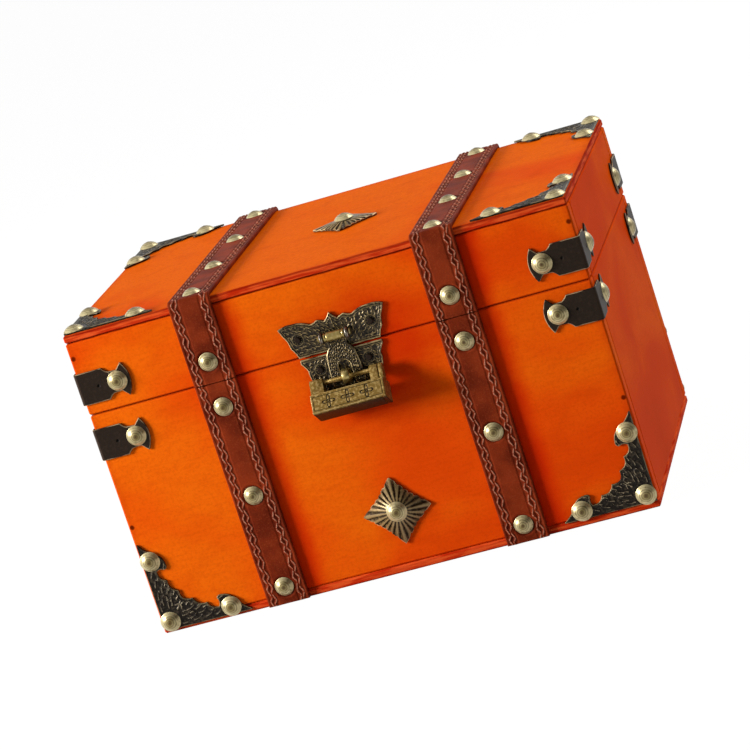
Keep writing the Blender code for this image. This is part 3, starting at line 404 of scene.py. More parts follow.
def inset(outline: np.ndarray, depth: float) -> np.ndarray:
    """Moves an anticlockwise outline inwards along its mitred corner directions.

    Args:
        outline: Rows of x and y.
        depth: How far each side moves in.

    Returns:
        The moved rows.
    """
    run = np.roll(outline, -1, axis=0) - outline
    run /= np.linalg.norm(run, axis=1, keepdims=True)
    inward = np.column_stack((-run[:, 1], run[:, 0]))
    mean = inward + np.roll(inward, 1, axis=0)
    mean /= np.maximum(np.linalg.norm(mean, axis=1, keepdims=True), 1e-9)
    mitre = np.maximum((mean * inward).sum(1, keepdims=True), 0.7)
    return outline + mean * depth / mitre


def inside(points: np.ndarray, outline: np.ndarray) -> np.ndarray:
    """Tells which points lie inside an outline: those whose ray to +X crosses it an odd number of times."""
    x, y = points[:, :1], points[:, 1:]
    (x1, y1), (x2, y2) = outline.T, np.roll(outline, -1, axis=0).T
    rise = np.where(y2 == y1, 1e-12, y2 - y1)
    crossed = ((y1 > y) != (y2 > y)) & (x < x1 + (y - y1) / rise * (x2 - x1))
    return crossed.sum(1) % 2 == 1


def lattice(outline: np.ndarray, step: float) -> np.ndarray:
    """Fills an outline with points in staggered rows, all at least half a step from its edge."""
    low, high = outline.min(0), outline.max(0)
    x, y = np.meshgrid(np.arange(low[0], high[0], step), np.arange(low[1], high[1], step * 0.866))
    x[1::2] += step / 2
    points = np.column_stack((x.ravel(), y.ravel()))
    points = points[inside(points, outline)]
    return points[path_distance(points, closed_path(outline)) > step * 0.55]


def triangles_in(outline: np.ndarray, extra: np.ndarray) -> tuple[np.ndarray, np.ndarray]:
    """Fills an outline and extra points with triangles.

    Args:
        outline: Rows of x and y, anticlockwise.
        extra: Rows of x and y inside it.

    Returns:
        The points and the triangles' corners.
    """
    given = [Vector(point) for point in np.vstack((outline, extra)) / MM]
    made = delaunay_2d_cdt(given, [], [list(range(len(outline)))], 1, 1e-7)
    return np.array([point[:] for point in made[0]]) * MM, np.array(made[2])


def flat_relief(points: np.ndarray, edge: np.ndarray) -> tuple[np.ndarray, np.ndarray]:
    """Leaves a plate's face plain."""
    return np.zeros(len(points)), np.zeros(len(points))


@dataclass(frozen=True)
class Plate:
    """A cut plate with quarter-round rims and a face in relief; its back lies at Z zero.

    Attributes:
        outline: Rows of x and y, anticlockwise.
        thickness: From the back to the face.
        rim: Radius of the round between side and face.
        step: Distance between the points of the face.
        relief: Gives height above the face and how raised it counts, from place and distance to the edge.
    """

    outline: np.ndarray
    thickness: float
    rim: float
    step: float
    relief: Relief = flat_relief

    def surface(self) -> Surface:
        """Gives the plate: rings at depth r (1 - cos a) and height thickness - r + r sin a, then the face."""
        angles = np.linspace(0, math.pi / 2, 4)
        rings = [np.column_stack((self.outline, np.zeros(len(self.outline))))]
        for angle in angles:
            ring = inset(self.outline, self.rim * (1 - math.cos(angle)))
            height = self.thickness - self.rim + self.rim * math.sin(angle)
            rings.append(np.column_stack((ring, np.full(len(ring), height))))
        border = rings[-1][:, :2]
        sides = grid_faces(len(rings), len(self.outline), closed=True)
        wall = Surface(np.concatenate(rings), [sides[:, ::-1]])
        flat, corners = triangles_in(border, lattice(border, self.step))
        edge = path_distance(flat, closed_path(border))
        height, raised = self.relief(flat, edge)
        height = np.where(edge < self.step * 0.1, 0, height)
        top = Surface(np.column_stack((flat, self.thickness + height)), [corners])
        under, corners = triangles_in(self.outline, np.zeros((0, 2)))
        back = Surface(np.column_stack((under, np.zeros(len(under)))), [corners[:, ::-1]])
        rim_mark = np.repeat((0.0, 0.5, 1.0, 1.0, 0.6), len(self.outline))
        whole = joined([
            wall.marked(Mark.RIM, rim_mark),
            top.marked(Mark.RAISED, raised).marked(Mark.RIM, 0.6 * (1 - smoothstep(0, self.rim, edge))),
            back])
        return whole.outwards()


def comma_strokes(
        starts: np.ndarray, headings: np.ndarray, length: float, curl: float, width: float) -> np.ndarray:
    """Lays out curved strokes that taper from head to tail; the heading turns by curl s^2 along each.

    Args:
        starts: Rows of x and y.
        headings: One angle per stroke, in radians.
        length: Length of every stroke.
        curl: Whole turn along a stroke, in radians.
        width: Half the width at the head.

    Returns:
        Rows of x, y and half width for the dots that make the strokes.
    """
    share = np.linspace(0, 1, 12)
    angle = headings[:, None] + curl * share ** 2
    step = length / (len(share) - 1)
    x = starts[:, :1] + np.cumsum(np.cos(angle), axis=1) * step
    y = starts[:, 1:] + np.cumsum(np.sin(angle), axis=1) * step
    radius = np.broadcast_to(width * (1 - 0.62 * share), x.shape)
    return np.column_stack((x.ravel(), y.ravel(), radius.ravel()))


def stroke_height(points: np.ndarray, strokes: np.ndarray) -> np.ndarray:
    """Gives the relief of strokes: the greatest exp(-(distance / half width)^2) over their dots."""

    def highest(some: np.ndarray) -> np.ndarray:
        """Gives the heights of some of the points."""
        away = ((some[:, None] - strokes[:, :2]) ** 2).sum(-1)
        return np.exp(-away / strokes[:, 2] ** 2).max(1)

    return in_chunks(points, strokes, highest)


def cell_border(points: np.ndarray, size: float, seed: int) -> np.ndarray:
    """Gives how near each point is to a border between cells, from 1 on a border to 0 in a cell's middle.

    Args:
        points: Rows of x and y.
        size: Mean width of a cell.
        seed: Start of the random numbers that scatter the cells' middles.

    Returns:
        1 - smoothstep of the difference between the distances to the two nearest middles.
    """
    chance = np.random.default_rng(seed)
    low, high = points.min(0) - size * 2, points.max(0) + size * 2
    x, y = np.meshgrid(np.arange(low[0], high[0], size), np.arange(low[1], high[1], size))
    middles = np.column_stack((x.ravel(), y.ravel())) + chance.uniform(-0.42, 0.42, (x.size, 2)) * size

    def gap(some: np.ndarray) -> np.ndarray:
        """Gives the differences for some of the points."""
        nearest = np.partition(np.sqrt(((some[:, None] - middles) ** 2).sum(-1)), 1, axis=1)
        return nearest[:, 1] - nearest[:, 0]

    return 1 - smoothstep(0.04, 0.42, in_chunks(points, middles, gap) / size)


def paint(code: str) -> Colour:
    """Turns a six-figure sRGB colour into linear light."""
    shares = (int(code[n:n + 2], 16) / 255 for n in (0, 2, 4))
    red, green, blue = (c / 12.92 if c <= 0.04045 else ((c + 0.055) / 1.055) ** 2.4 for c in shares)
    return red, green, blue, 1.0


@dataclass(frozen=True)
class Value:
    """An output of a node; a sum or product written with it adds a node that works it out."""

    nodes: "Nodes"
    socket: bpy.types.NodeSocket

    def __add__(self, other: "Input") -> "Value":
        """Adds a value."""
        return self.nodes.maths("ADD", self, other)

    def __sub__(self, other: "Input") -> "Value":
        """Takes a value away."""
        return self.nodes.maths("SUBTRACT", self, other)

    def __rsub__(self, other: float) -> "Value":
        """Takes this output away from a number."""
        return self.nodes.maths("SUBTRACT", other, self)

    def __mul__(self, other: "Input") -> "Value":
        """Multiplies by a value."""
        return self.nodes.maths("MULTIPLY", self, other)

    def __abs__(self) -> "Value":
        """Drops the sign."""
        return self.nodes.maths("ABSOLUTE", self)

    def least(self, other: "Input") -> "Value":
        """Gives the smaller of two values."""
        return self.nodes.maths("MINIMUM", self, other)

    def most(self, other: "Input") -> "Value":
        """Gives the larger of two values."""
        return self.nodes.maths("MAXIMUM", self, other)


Input = float | tuple[float, ...] | Value


class Nodes:
    """A tree of nodes; each method adds a node and gives its output."""

    def __init__(self, tree: bpy.types.NodeTree) -> None:
        """Keeps the tree."""
        self.tree = tree

    def feed(self, socket: bpy.types.NodeSocket, value: Input) -> None:
        """Links a socket to another node's output, or sets its value."""
        if isinstance(value, Value):
            self.tree.links.new(value.socket, socket)
        else:
            socket.default_value = value

    def add(
            self, kind: str, inputs: dict[str | int, Input], output: str | int = 0,
            **settings: str) -> Value:
        """Adds a node.

        Args:
            kind: Blender's name of the node type, after ShaderNode.
            inputs: Values or outputs for its inputs, by name or number.
            output: Name or number of the output to give.
            settings: Values of the node's own properties.

        Returns:
            The output.
        """
        node = self.tree.nodes.new("ShaderNode" + kind)
        for name, setting in settings.items():
            setattr(node, name, setting)
        for name, value in inputs.items():
            self.feed(node.inputs[name], value)
        return Value(self, node.outputs[output])

    def maths(self, operation: str, first: Input, second: Input = 0.0) -> Value:
        """Gives the result of a sum on one or two numbers."""
        return self.add("Math", {0: first, 1: second}, operation=operation)

    def ease(self, value: Input, low: float, high: float) -> Value:
        """Gives a smooth rise from zero at low to one at high."""
        inputs = {"Value": value, "From Min": low, "From Max": high}
        return self.add("MapRange", inputs, interpolation_type="SMOOTHSTEP")

    def mixed(self, share: Input, first: Input, second: Input) -> Value:
        """Gives a colour between two colours."""
        return self.add("Mix", {0: share, 6: first, 7: second}, 2, data_type="RGBA")


class Recipe(Nodes):
    """The nodes of one material, whose colour is laid on in coats."""

    def __init__(
            self, name: str, metallic: float, roughness: float, gloss: float, ground: str) -> None:
        """Starts a material with its plain values set on the shader's own sockets.

        Args:
            name: Name of the material.
            metallic: How metallic it is.
            roughness: Its roughness.
            gloss: Its specular level.
            ground: Colour under the coats.
        """
        self.material = bpy.data.materials.new(name)
        self.material.use_nodes = True
        super().__init__(self.material.node_tree)
        self.shader = self.tree.nodes["Principled BSDF"]
        for socket, value in (
                ("Metallic", metallic), ("Roughness", roughness), ("Specular IOR Level", gloss)):
            self.shader.inputs[socket].default_value = value
        self.place = self.add("TexCoord", {}, "Object")
        self.colour: Input = paint(ground)

    def parts(self) -> list[Value]:
        """Gives the place across, along and up."""
        return [self.add("SeparateXYZ", {0: self.place}, axis) for axis in range(3)]

    def distance(self, place: Sequence[float]) -> Value:
        """Gives the distance from a place."""
        return self.add("VectorMath", {0: self.place, 1: tuple(place)}, "Value", operation="DISTANCE")

    def noise(self, waves: float | Sequence[float], detail: float = 3.0, distortion: float = 0.0) -> Value:
        """Gives noise with so many waves to the metre, alike or for each axis."""
        scale = tuple(np.broadcast_to(waves, 3).tolist())
        inputs = {
            "Vector": self.add("Mapping", {"Vector": self.place, "Scale": scale}),
            "Scale": 1.0, "Detail": detail, "Distortion": distortion}
        return self.add("TexNoise", inputs)

    def mark(self, mark: Mark) -> Value:
        """Gives the number that the mesh carries under a mark."""
        return self.add("Attribute", {}, "Fac", attribute_name=mark.value)

    def lay(self, share: Input, colour: str | Value) -> None:
        """Lays a coat over the colour, as thick as a share."""
        self.colour = self.mixed(share, self.colour, paint(colour) if isinstance(colour, str) else colour)

    def bump(self, height: Input, depth: float, below: Value | None = None) -> Value:
        """Gives a surface direction tilted by a height, on top of an earlier one if there is one."""
        inputs = {"Height": height, "Distance": depth, "Strength": 1.0}
        return self.add("Bump", inputs if below is None else {**inputs, "Normal": below})

    def finished(self, normal: Value) -> bpy.types.Material:
        """Feeds the shader and gives the material."""
        self.feed(self.shader.inputs["Base Color"], self.colour)
        self.feed(self.shader.inputs["Normal"], normal)
        return self.material


@dataclass(frozen=True)
class WoodFinish:
    """Orange stain under lacquer, redder at edges and joints, with painted shade in the parting gap, red stain
    and painted shadow round the latch, and painted shadow right of each strap.

    Attributes:
        name: Name of the material.
        grain: Way that the fibres run.
        yellow, orange, deep: Colours of the stain: its ground, its clouds, and its darkest clouds and fibres.
        edge, streak: Colours of the edges of top and bottom board, and of the paler streaks on them.
        joint_and_gap_shade, stain_and_shadow_red: Colours of the joints, also painted as shade in the parting
        gap, and of the red round the latch (stain and painted shadow) and the painted shadow right of each
        strap.
        burnish, spot: Colours of the box's worn edges and of the panel pins' marks.
        top_drift: How much yellower the top is.
        drift: How much more orange the wood gets to the right, to the metre.
        spread, raggedness, wander: How raggedly the red round latch and straps and the burnish end, and how far
            joints' lines wander.
        latch_stain_and_shadow_reach, strap_shadow_reach, pin_reach, joint_reach, parting_shade_reach: Distances
        from each at which its
            colour ends and is full.
        face_reach, outer_reach: The same, from top and bottom face, and from the middle to front and back.
        burnish_reach: Distances from an edge at which the burnish is full and ends.
        strap_shadow_share: Where beside a strap the painted shadow is fullest, as a share of the strap's width.
        blur: Half the width over which a board's red edge ends.
        joints: Distance below the top of each dark line, and how dark it is.
        fibre_depth: Depth of the fibres.
    """

    name: str
    grain: Grain
    yellow: str = "F66C0C"
    orange: str = "EE4E08"
    deep: str = "D23C04"
    edge: str = "C42C0C"
    streak: str = "E85A26"
    # dark colour of the joints, also painted as shade in the gap between lid and box
    joint_and_gap_shade: str = "8A1606"
    # red of the stain round the latch, also used for the painted shadow of latch, padlock and straps
    stain_and_shadow_red: str = "D01602"
    burnish: str = "CC3C0A"
    spot: str = "400802"
    top_drift: float = 0.1
    drift: float = 0.9
    spread: float = 14 * MM
    latch_stain_and_shadow_reach: Pair = (54 * MM, 22 * MM)
    strap_shadow_reach: Pair = (15 * MM, 5 * MM)
    pin_reach: Pair = (1.5 * MM, 0.7 * MM)
    face_reach: Pair = (0.05 * MM, 0.15 * MM)
    outer_reach: Pair = (HALF_DEPTH - 1 * MM, HALF_DEPTH - 0.3 * MM)
    strap_shadow_share: float = 0.62
    raggedness: float = 4 * MM
    burnish_reach: Pair = (-2.2 * MM, 2.6 * MM)
    blur: float = 0.2 * MM
    wander: float = 0.9 * MM
    joints: tuple[Pair, ...] = ((BOARD + 0.45 * MM, 0.85), (1 * MM, 0.7))
    joint_reach: Pair = (0.7 * MM, 0.15 * MM)
    parting_shade_reach: Pair = (0.8 * MM, 0.3 * MM)
    fibre_depth: float = 0.025 * MM

    def edge_distance(self, x: Value, y: Value, z: Value) -> Value:
        """Gives the distance to the nearest outer edge: the second smallest of the distances to the faces."""
        side, end, level = HALF_WIDTH - abs(x), HALF_DEPTH - abs(y), z.least(BOX_HEIGHT - z)
        return side.least(end).most(side.most(end).least(level))

    def stain_and_painted_shadow(self, recipe: Recipe, x: Value, outer: Value) -> Value:
        """Gives the share of red: stain and painted shadow round the latch and padlock, and painted shadow on
        the right of each strap.

        Args:
            recipe: The material's nodes.
            x: Place across.
            outer: One on the front and back faces.

        Returns:
            A share.
        """
        ragged = recipe.noise(90) * self.spread
        # red stain round the latch, with the painted shadow of latch and padlock on its right
        most = recipe.ease(recipe.distance(LATCH_PLACE) + ragged, *self.latch_stain_and_shadow_reach)
        # painted shadow of each strap on the wood to its right
        for side in SIDES.values():
            beside = abs(x - (side * STRAP_PLACE + STRAP_WIDTH * self.strap_shadow_share))
            most = most.most(recipe.ease(beside + ragged * 0.5, *self.strap_shadow_reach) * outer)
        return most

    def lay_stain(self, recipe: Recipe, x: Value, below: Value, fibres: Value) -> None:
        """Lays on the stain: clouds that deepen to the right, patches, fibres and mottles.

        Args:
            recipe: The material's nodes.
            x: Place across.
            below: One under the top face, zero on it.
            fibres: The fibres' noise.
        """
        drift = (x * self.drift + self.top_drift) * below - self.top_drift
        clouds = recipe.noise((11, 11, 18), 3.0, 0.6) + drift
        patches = recipe.ease(recipe.noise((34, 34, 52), 4.0, 1.2), 0.48, 0.78)
        recipe.lay(recipe.ease(clouds, 0.34, 0.66), self.orange)
        for share in (
                recipe.ease(clouds, 0.55, 0.9) * 0.6, patches * 0.3, recipe.ease(fibres, 0.4, 0.75) * 0.2,
                recipe.ease(recipe.noise(800, 5.0), 0.42, 0.72) * 0.3):
            recipe.lay(share, self.deep)

    def lay_edges(self, recipe: Recipe, place: Sequence[Value], below: Value) -> None:
        """Lays on the burnished edges, the red edges of top and bottom board, the joints, and painted shade in
        the parting gap.

        Args:
            recipe: The material's nodes.
            place: Place across, along and up.
            below: One under the top face, zero on it.
        """
        x, y, z = place
        drop = BOX_HEIGHT - z
        distance = self.edge_distance(x, y, z) + recipe.noise(160) * -self.raggedness
        recipe.lay((1.0 - recipe.ease(distance, *self.burnish_reach)) * 0.45, self.burnish)
        streaks = recipe.ease(recipe.noise((90, 90, 1000)), 0.35, 0.65)
        red = recipe.mixed(streaks, paint(self.edge), paint(self.streak))
        for height in (drop, z):
            strip = recipe.ease(height, BOARD + self.blur, BOARD - self.blur)
            recipe.lay(strip * recipe.ease(height, *self.face_reach), red)
        wandering = drop + recipe.noise(70) * self.wander
        for line, share in self.joints:
            crack = recipe.ease(abs(wandering - line), *self.joint_reach)
            recipe.lay(crack * below * share, self.joint_and_gap_shade)
        # painted shade in the gap between lid and box
        middle = (PARTING_HEIGHT + LID_BOTTOM) / 2
        recipe.lay(recipe.ease(abs(z - middle), *self.parting_shade_reach) * 0.5, self.joint_and_gap_shade)

    def lay_pins(self, recipe: Recipe) -> None:
        """Lays on the dark spots where panel pins hold the front board to the side boards."""
        spots: Input = 0.0
        for side in SIDES.values():
            for height in PIN_HEIGHTS:
                away = recipe.distance((side * (HALF_WIDTH - PIN_INSET), -HALF_DEPTH, height))
                spots = recipe.ease(away, *self.pin_reach).most(spots)
        recipe.lay(spots * 0.85, self.spot)

    def material(self) -> bpy.types.Material:
        """Makes the material: stain, red stain and painted shadow round the latch, painted shadow beside the
        straps, edges, joints, painted shade in the parting gap, and pin marks, over fine fibres.
        """
        recipe = Recipe(self.name, 0.0, 0.4, 0.001, self.yellow)
        x, y, z = place = recipe.parts()
        fibres = recipe.noise(self.grain.value, 4.0)
        below = recipe.ease(BOX_HEIGHT - z, *self.face_reach)
        self.lay_stain(recipe, x, below, fibres)
        outer = recipe.ease(abs(y), *self.outer_reach) * below
        # red stain and painted shadow round the latch, painted shadow right of the straps
        recipe.lay(self.stain_and_painted_shadow(recipe, x, outer) * 0.72, self.stain_and_shadow_red)
        self.lay_edges(recipe, place, below)
        self.lay_pins(recipe)
        return recipe.finished(recipe.bump(fibres, self.fibre_depth))


@dataclass(frozen=True)
class LeatherFinish:
    """Red-brown leather with fine pebbling; its raised stitches are pink on a dark ground."""

    name: str = "leather"
    skin: str = "8A3216"
    dark: str = "641F0D"
    worn: str = "A04A28"
    ground: str = "3A1006"
    stitch: str = "BC7E64"
    pebble_depth: float = 0.08 * MM

    def material(self) -> bpy.types.Material:
        """Makes the material from the raised mark (1 on a stitch, -1 on the ground beside it, -0.6 for the
        painted shade round each tack).
        """
        recipe = Recipe(self.name, 0.0, 0.5, 0.02, self.skin)
        pebbles = recipe.noise(1500)
        raised = recipe.mark(Mark.RAISED)
        recipe.lay(recipe.ease(recipe.noise(60), 0.35, 0.65), self.dark)
        recipe.lay(recipe.ease(pebbles, 0.5, 0.75) * 0.35, self.worn)
        # the dark ground colour also paints the shade in the dents round the tacks
        recipe.lay(recipe.ease(raised, -0.1, -0.9), self.ground)
        recipe.lay(recipe.ease(raised, 0.25, 0.8) * recipe.ease(pebbles, 0.2, 0.6), self.stitch)
        return recipe.finished(recipe.bump(pebbles, self.pebble_depth))


@dataclass(frozen=True)
class MetalFinish:
    """Patinated metal: dark in the hollows, worn bright on what stands up and at the rims, with painted shade
    on an underside plane if one is given.

    Attributes:
        name: Name of the material.
        hollow: Colour of the patina.
        worn: Colour where the relief is raised.
        rim: Colour of the worn rims.
        roughness: Roughness of the patina.
        speckle: How much lighter and darker spots show.
        grit: Depth of the fine unevenness.
        metallic: How metallic the surface is under its patina.
        gloss: Specular level of the patina.
        pit: Colour of engraved lines, and of the painted shade in holes and on the underside plane.
        under: Direction and offset of a plane whose face gets painted shade; the far default has none.
        underside_shade_reach: Distances from that plane at which the painted shade ends and is full.
    """

    name: str
    hollow: str
    worn: str
    rim: str
    roughness: float
    speckle: float
    grit: float
    metallic: float
    gloss: float = 0.3
    pit: str = "0C0804"
    under: Colour = (0.0, 0.0, 0.0, 1.0)
    underside_shade_reach: Pair = (0.25 * MM, 0.1 * MM)

    def material(self) -> bpy.types.Material:
        """Makes the material from the raised and rim marks; the swell mark tilts its light, and painted shade
        darkens the face on the under plane.
        """
        recipe = Recipe(self.name, self.metallic, self.roughness, self.gloss, self.hollow)
        spots, clouds = recipe.noise(900, 4.0), recipe.noise(140)
        level = recipe.mark(Mark.RAISED)
        recipe.lay(recipe.ease(spots, 0.45, 0.7) * self.speckle, self.worn)
        recipe.lay(recipe.ease(level + clouds * 0.3, 0.5, 1.15), self.worn)
        recipe.lay(recipe.ease(level, -0.15, -0.8), self.pit)
        rim = recipe.mark(Mark.RIM) * recipe.ease(clouds, 0.25, 0.6)
        recipe.lay(recipe.ease(rim, 0.25, 0.9), self.rim)
        # painted shade: the face on the under plane, the padlock case's underside, takes the pit colour
        inputs = {0: recipe.place, 1: self.under[:3]}
        along = recipe.add("VectorMath", inputs, "Value", operation="DOT_PRODUCT")
        recipe.lay(recipe.ease(abs(along + self.under[3]), *self.underside_shade_reach) * 0.92, self.pit)
        swell = recipe.bump(recipe.mark(Mark.SWELL), 1.0)
        return recipe.finished(recipe.bump(spots, self.grit, swell))


@dataclass(frozen=True)
class TackFinish:
    """Pale brass domes: a bright rim, turned rings, olive smudges and a brown spot on top."""

    name: str = "tack_brass"
    pale: str = "C8B98A"
    olive: str = "7A6A38"
    brown: str = "4A3418"
    turns: float = 30.0
    grit: float = 0.02 * MM

    def material(self) -> bpy.types.Material:
        """Makes the material from each point's share of the dome's radius."""
        recipe = Recipe(self.name, 0.5, 0.34, 0.5, self.pale)
        span = recipe.mark(Mark.SPAN)
        spots, clouds = recipe.noise(700, 4.0), recipe.noise(260, 2.0)
        recipe.lay(1.0 - recipe.ease(span + clouds * 0.8, 0.45, 1.25), self.olive)
        recipe.lay(recipe.ease(spots, 0.52, 0.7) * 0.6, self.olive)
        swirl = recipe.maths("SINE", span * self.turns + clouds * 5.0)
        recipe.lay(recipe.ease(swirl, 0.1, 0.8) * recipe.ease(span, 0.95, 0.6) * 0.6, self.brown)
        recipe.lay(recipe.ease(span, 0.2, 0.06) * 0.9, self.brown)
        return recipe.finished(recipe.bump(spots, self.grit))


def make_materials() -> dict[str, bpy.types.Material]:
    """Makes every material of the box and gives them by name."""
    finishes = (
        WoodFinish("wood_along_width", Grain.ALONG_WIDTH),
        WoodFinish("wood_along_depth", Grain.ALONG_DEPTH, yellow="F05C08", orange="E24606"),
        MetalFinish("clip_metal", "261C15", "3C2E24", "A8906C", 0.5, 0.35, 0.03 * MM, 0.1, 0.08),
        MetalFinish("plate_metal", "150F09", "9C8C70", "8E7C58", 0.42, 0.12, 0.05 * MM, 0.3, 0.15),
        MetalFinish("medallion_metal", "38260F", "B89A66", "E4CC98", 0.36, 0.4, 0.06 * MM, 0.3),
        MetalFinish("latch_metal", "1C140A", "B89E6A", "D0B884", 0.38, 0.2, 0.05 * MM, 0.4),
        MetalFinish("bright_metal", "94804A", "C8B480", "E0CC98", 0.32, 0.5, 0.03 * MM, 0.8),
        # the lock finish paints shade on the padlock case's underside
        MetalFinish("lock_metal", "80642E", "C0A266", "DCC48C", 0.44, 0.85, 0.09 * MM, 0.4, 0.15,
                    under=Padlock.under_plane()),
        MetalFinish("steel", "8C867A", "B4AC9C", "D0C8B8", 0.36, 0.4, 0.02 * MM, 1.0),
        TackFinish(),
        LeatherFinish())
    return {finish.name: finish.material() for finish in finishes}


def scattered(shape: Surface, places: Sequence[np.ndarray]) -> Surface:
    """Puts a copy of a shape at each place."""
    return joined([shape.moved(place) for place in places])


@dataclass
class Tacks:
    """Dome-headed tacks."""

    radius: float = 4.8 * MM
    height: float = 2.8 * MM
    strap_radius: float = 4.4 * MM
    strap_height: float = 2.7 * MM
    sides: int = 32
    ball_share: float = 0.9
    cap_share: float = 0.985
    cap_rise_share: float = 0.96
    nipple_shares: Pair = (0.14, 0.05)
    rim_shares: tuple[Pair, ...] = ((0, 0), (0.9, 0), (0.985, 0.03), (1.0, 0.09))

    def dome(self, radius: float, height: float) -> Surface:
        """Gives a dome: height R cos a - (R - h) with R = (r^2 + h^2) / 2h, over a short rolled rim."""
        rise = height * self.ball_share
        ball = (radius ** 2 + rise ** 2) / (2 * rise)
        angles = np.linspace(math.asin(min(1, radius * self.cap_share / ball)), 0, 12)
        cap = np.column_stack((
            ball * np.sin(angles), ball * np.cos(angles) - ball + height * self.cap_rise_share))
        cap[-1, 0] = 0
        width, swell = self.nipple_shares
        cap[:, 1] += bell(cap[:, 0], 0, radius * width) * height * swell
        return lathe(np.vstack((np.array(self.rim_shares) * (radius, height), cap)), self.sides)

    def on_metal(self) -> Surface:
        """Gives a tack that holds metal."""
        return self.dome(self.radius, self.height)

    def on_strap(self) -> Surface:
        """Gives a tack that holds leather."""
        return self.dome(self.strap_radius, self.strap_height)


def added(name: str, data: bpy.types.ID) -> bpy.types.Object:
    """Puts an object into the scene."""
    made = bpy.data.objects.new(name, data)
    bpy.context.scene.collection.objects.link(made)
    return made


def weld(mesh: bpy.types.Mesh, flatten: bool = False) -> None:
    """Welds a mesh's doubled points and shades it smooth; joins its flat faces if asked."""
    bm = bmesh.new()
    bm.from_mesh(mesh)
    bmesh.ops.remove_doubles(bm, verts=bm.verts, dist=WELD)
    if flatten:
        bmesh.ops.dissolve_limit(bm, angle_limit=FLAT_ANGLE, verts=bm.verts, edges=bm.edges)
    bm.to_mesh(mesh)
    bm.free()
    mesh.shade_smooth()


@dataclass
class Bench:
    """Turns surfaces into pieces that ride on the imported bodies."""

    materials: dict[str, bpy.types.Material]
    tacks: Tacks

    def coat(self, mesh: bpy.types.Mesh, finish: str) -> None:
        """Gives a mesh the material of a name and no other."""
        mesh.materials.clear()
        mesh.materials.append(self.materials[finish])

    def dress(self, node: str, finish: str) -> None:
        """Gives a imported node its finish."""
        self.coat(frame["nodes"][node].data, finish)
        LOG.info("%s: finish %s", node, finish)

    def settle(self, made: bpy.types.Object, finish: str, node: str) -> None:
        """Gives a piece its finish, and hangs it where the node that it stands for hangs.

        Args:
            made: The piece.
            finish: Name of its material.
            node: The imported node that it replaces.
        """
        self.coat(made.data, finish)
        body = next(name for name, held in frame["record"]["behaviour"]["bodies"].items() if node in held)
        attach(made, body)
        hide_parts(node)
        LOG.info("%s: %d faces on %s", made.name, len(made.data.polygons), body)

    def piece(self, name: str, surface: Surface, finish: str, node: str) -> None:
        """Makes a piece from a surface, with its doubled points welded.

        Args:
            name: The piece's name.
            surface: Its shape, faces outwards.
            finish: Name of its material.
            node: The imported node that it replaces.
        """
        mesh = bpy.data.meshes.new(name)
        faces = [row for part in surface.faces for row in part.tolist()]
        mesh.from_pydata(surface.points.tolist(), [], faces)
        for mark, numbers in surface.marks.items():
            mesh.attributes.new(mark, "FLOAT", "POINT").data.foreach_set("value", numbers.astype(np.float32))
        weld(mesh)
        mesh.set_sharp_from_angle(angle=SHARP_ANGLE)
        self.settle(added(name, mesh), finish, node)

    def tacked(self, node: str, shape: Surface, heads: Surface, finish: str, seat: np.ndarray) -> None:
        """Makes a piece and the heads of its tacks.

        Args:
            node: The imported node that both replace.
            shape: The piece's shape.
            heads: The shape of the heads.
            finish: Name of the piece's material; the piece's name ends in its last word.
            seat: Matrix that carries both to their place.
        """
        self.piece(f"{node}_{finish.split('_')[-1]}", shape.moved(seat), finish, node)
        self.piece(node + "_tacks", heads.moved(seat), "tack_brass", node)

    def softened(self, name: str, node: str, finish: str, bevel: float) -> None:
        """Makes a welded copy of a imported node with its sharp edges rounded.

        Args:
            name: The piece's name.
            node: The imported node.
            finish: Name of its material.
            bevel: Width of the rounding.
        """
        mesh = frame["nodes"][node].data.copy()
        mesh.name = name
        weld(mesh, flatten=True)
        made = added(name, mesh)
        rounding = made.modifiers.new("rounded edges", "BEVEL")
        rounding.width = bevel
        rounding.segments = 2
        rounding.limit_method = "ANGLE"
        rounding.angle_limit = BEVEL_ANGLE
        rounding.harden_normals = True
        self.settle(made, finish, node)


@dataclass
class Boards:
    """The boards of box and lid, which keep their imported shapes."""

    bench: Bench

    def build(self) -> None:
        """Gives each board the wood whose grain runs along it."""
        for node in frame["nodes"]:
            if node.endswith("_panel"):
                along = "depth" if "left" in node or "right" in node else "width"
                self.bench.dress(node, "wood_along_" + along)


@dataclass
class StrapRun:
    """The inner face of a strap, row by row, as (y, z): where it is, which way is out, how far it has run."""

    places: np.ndarray
    outward: np.ndarray
    run: np.ndarray


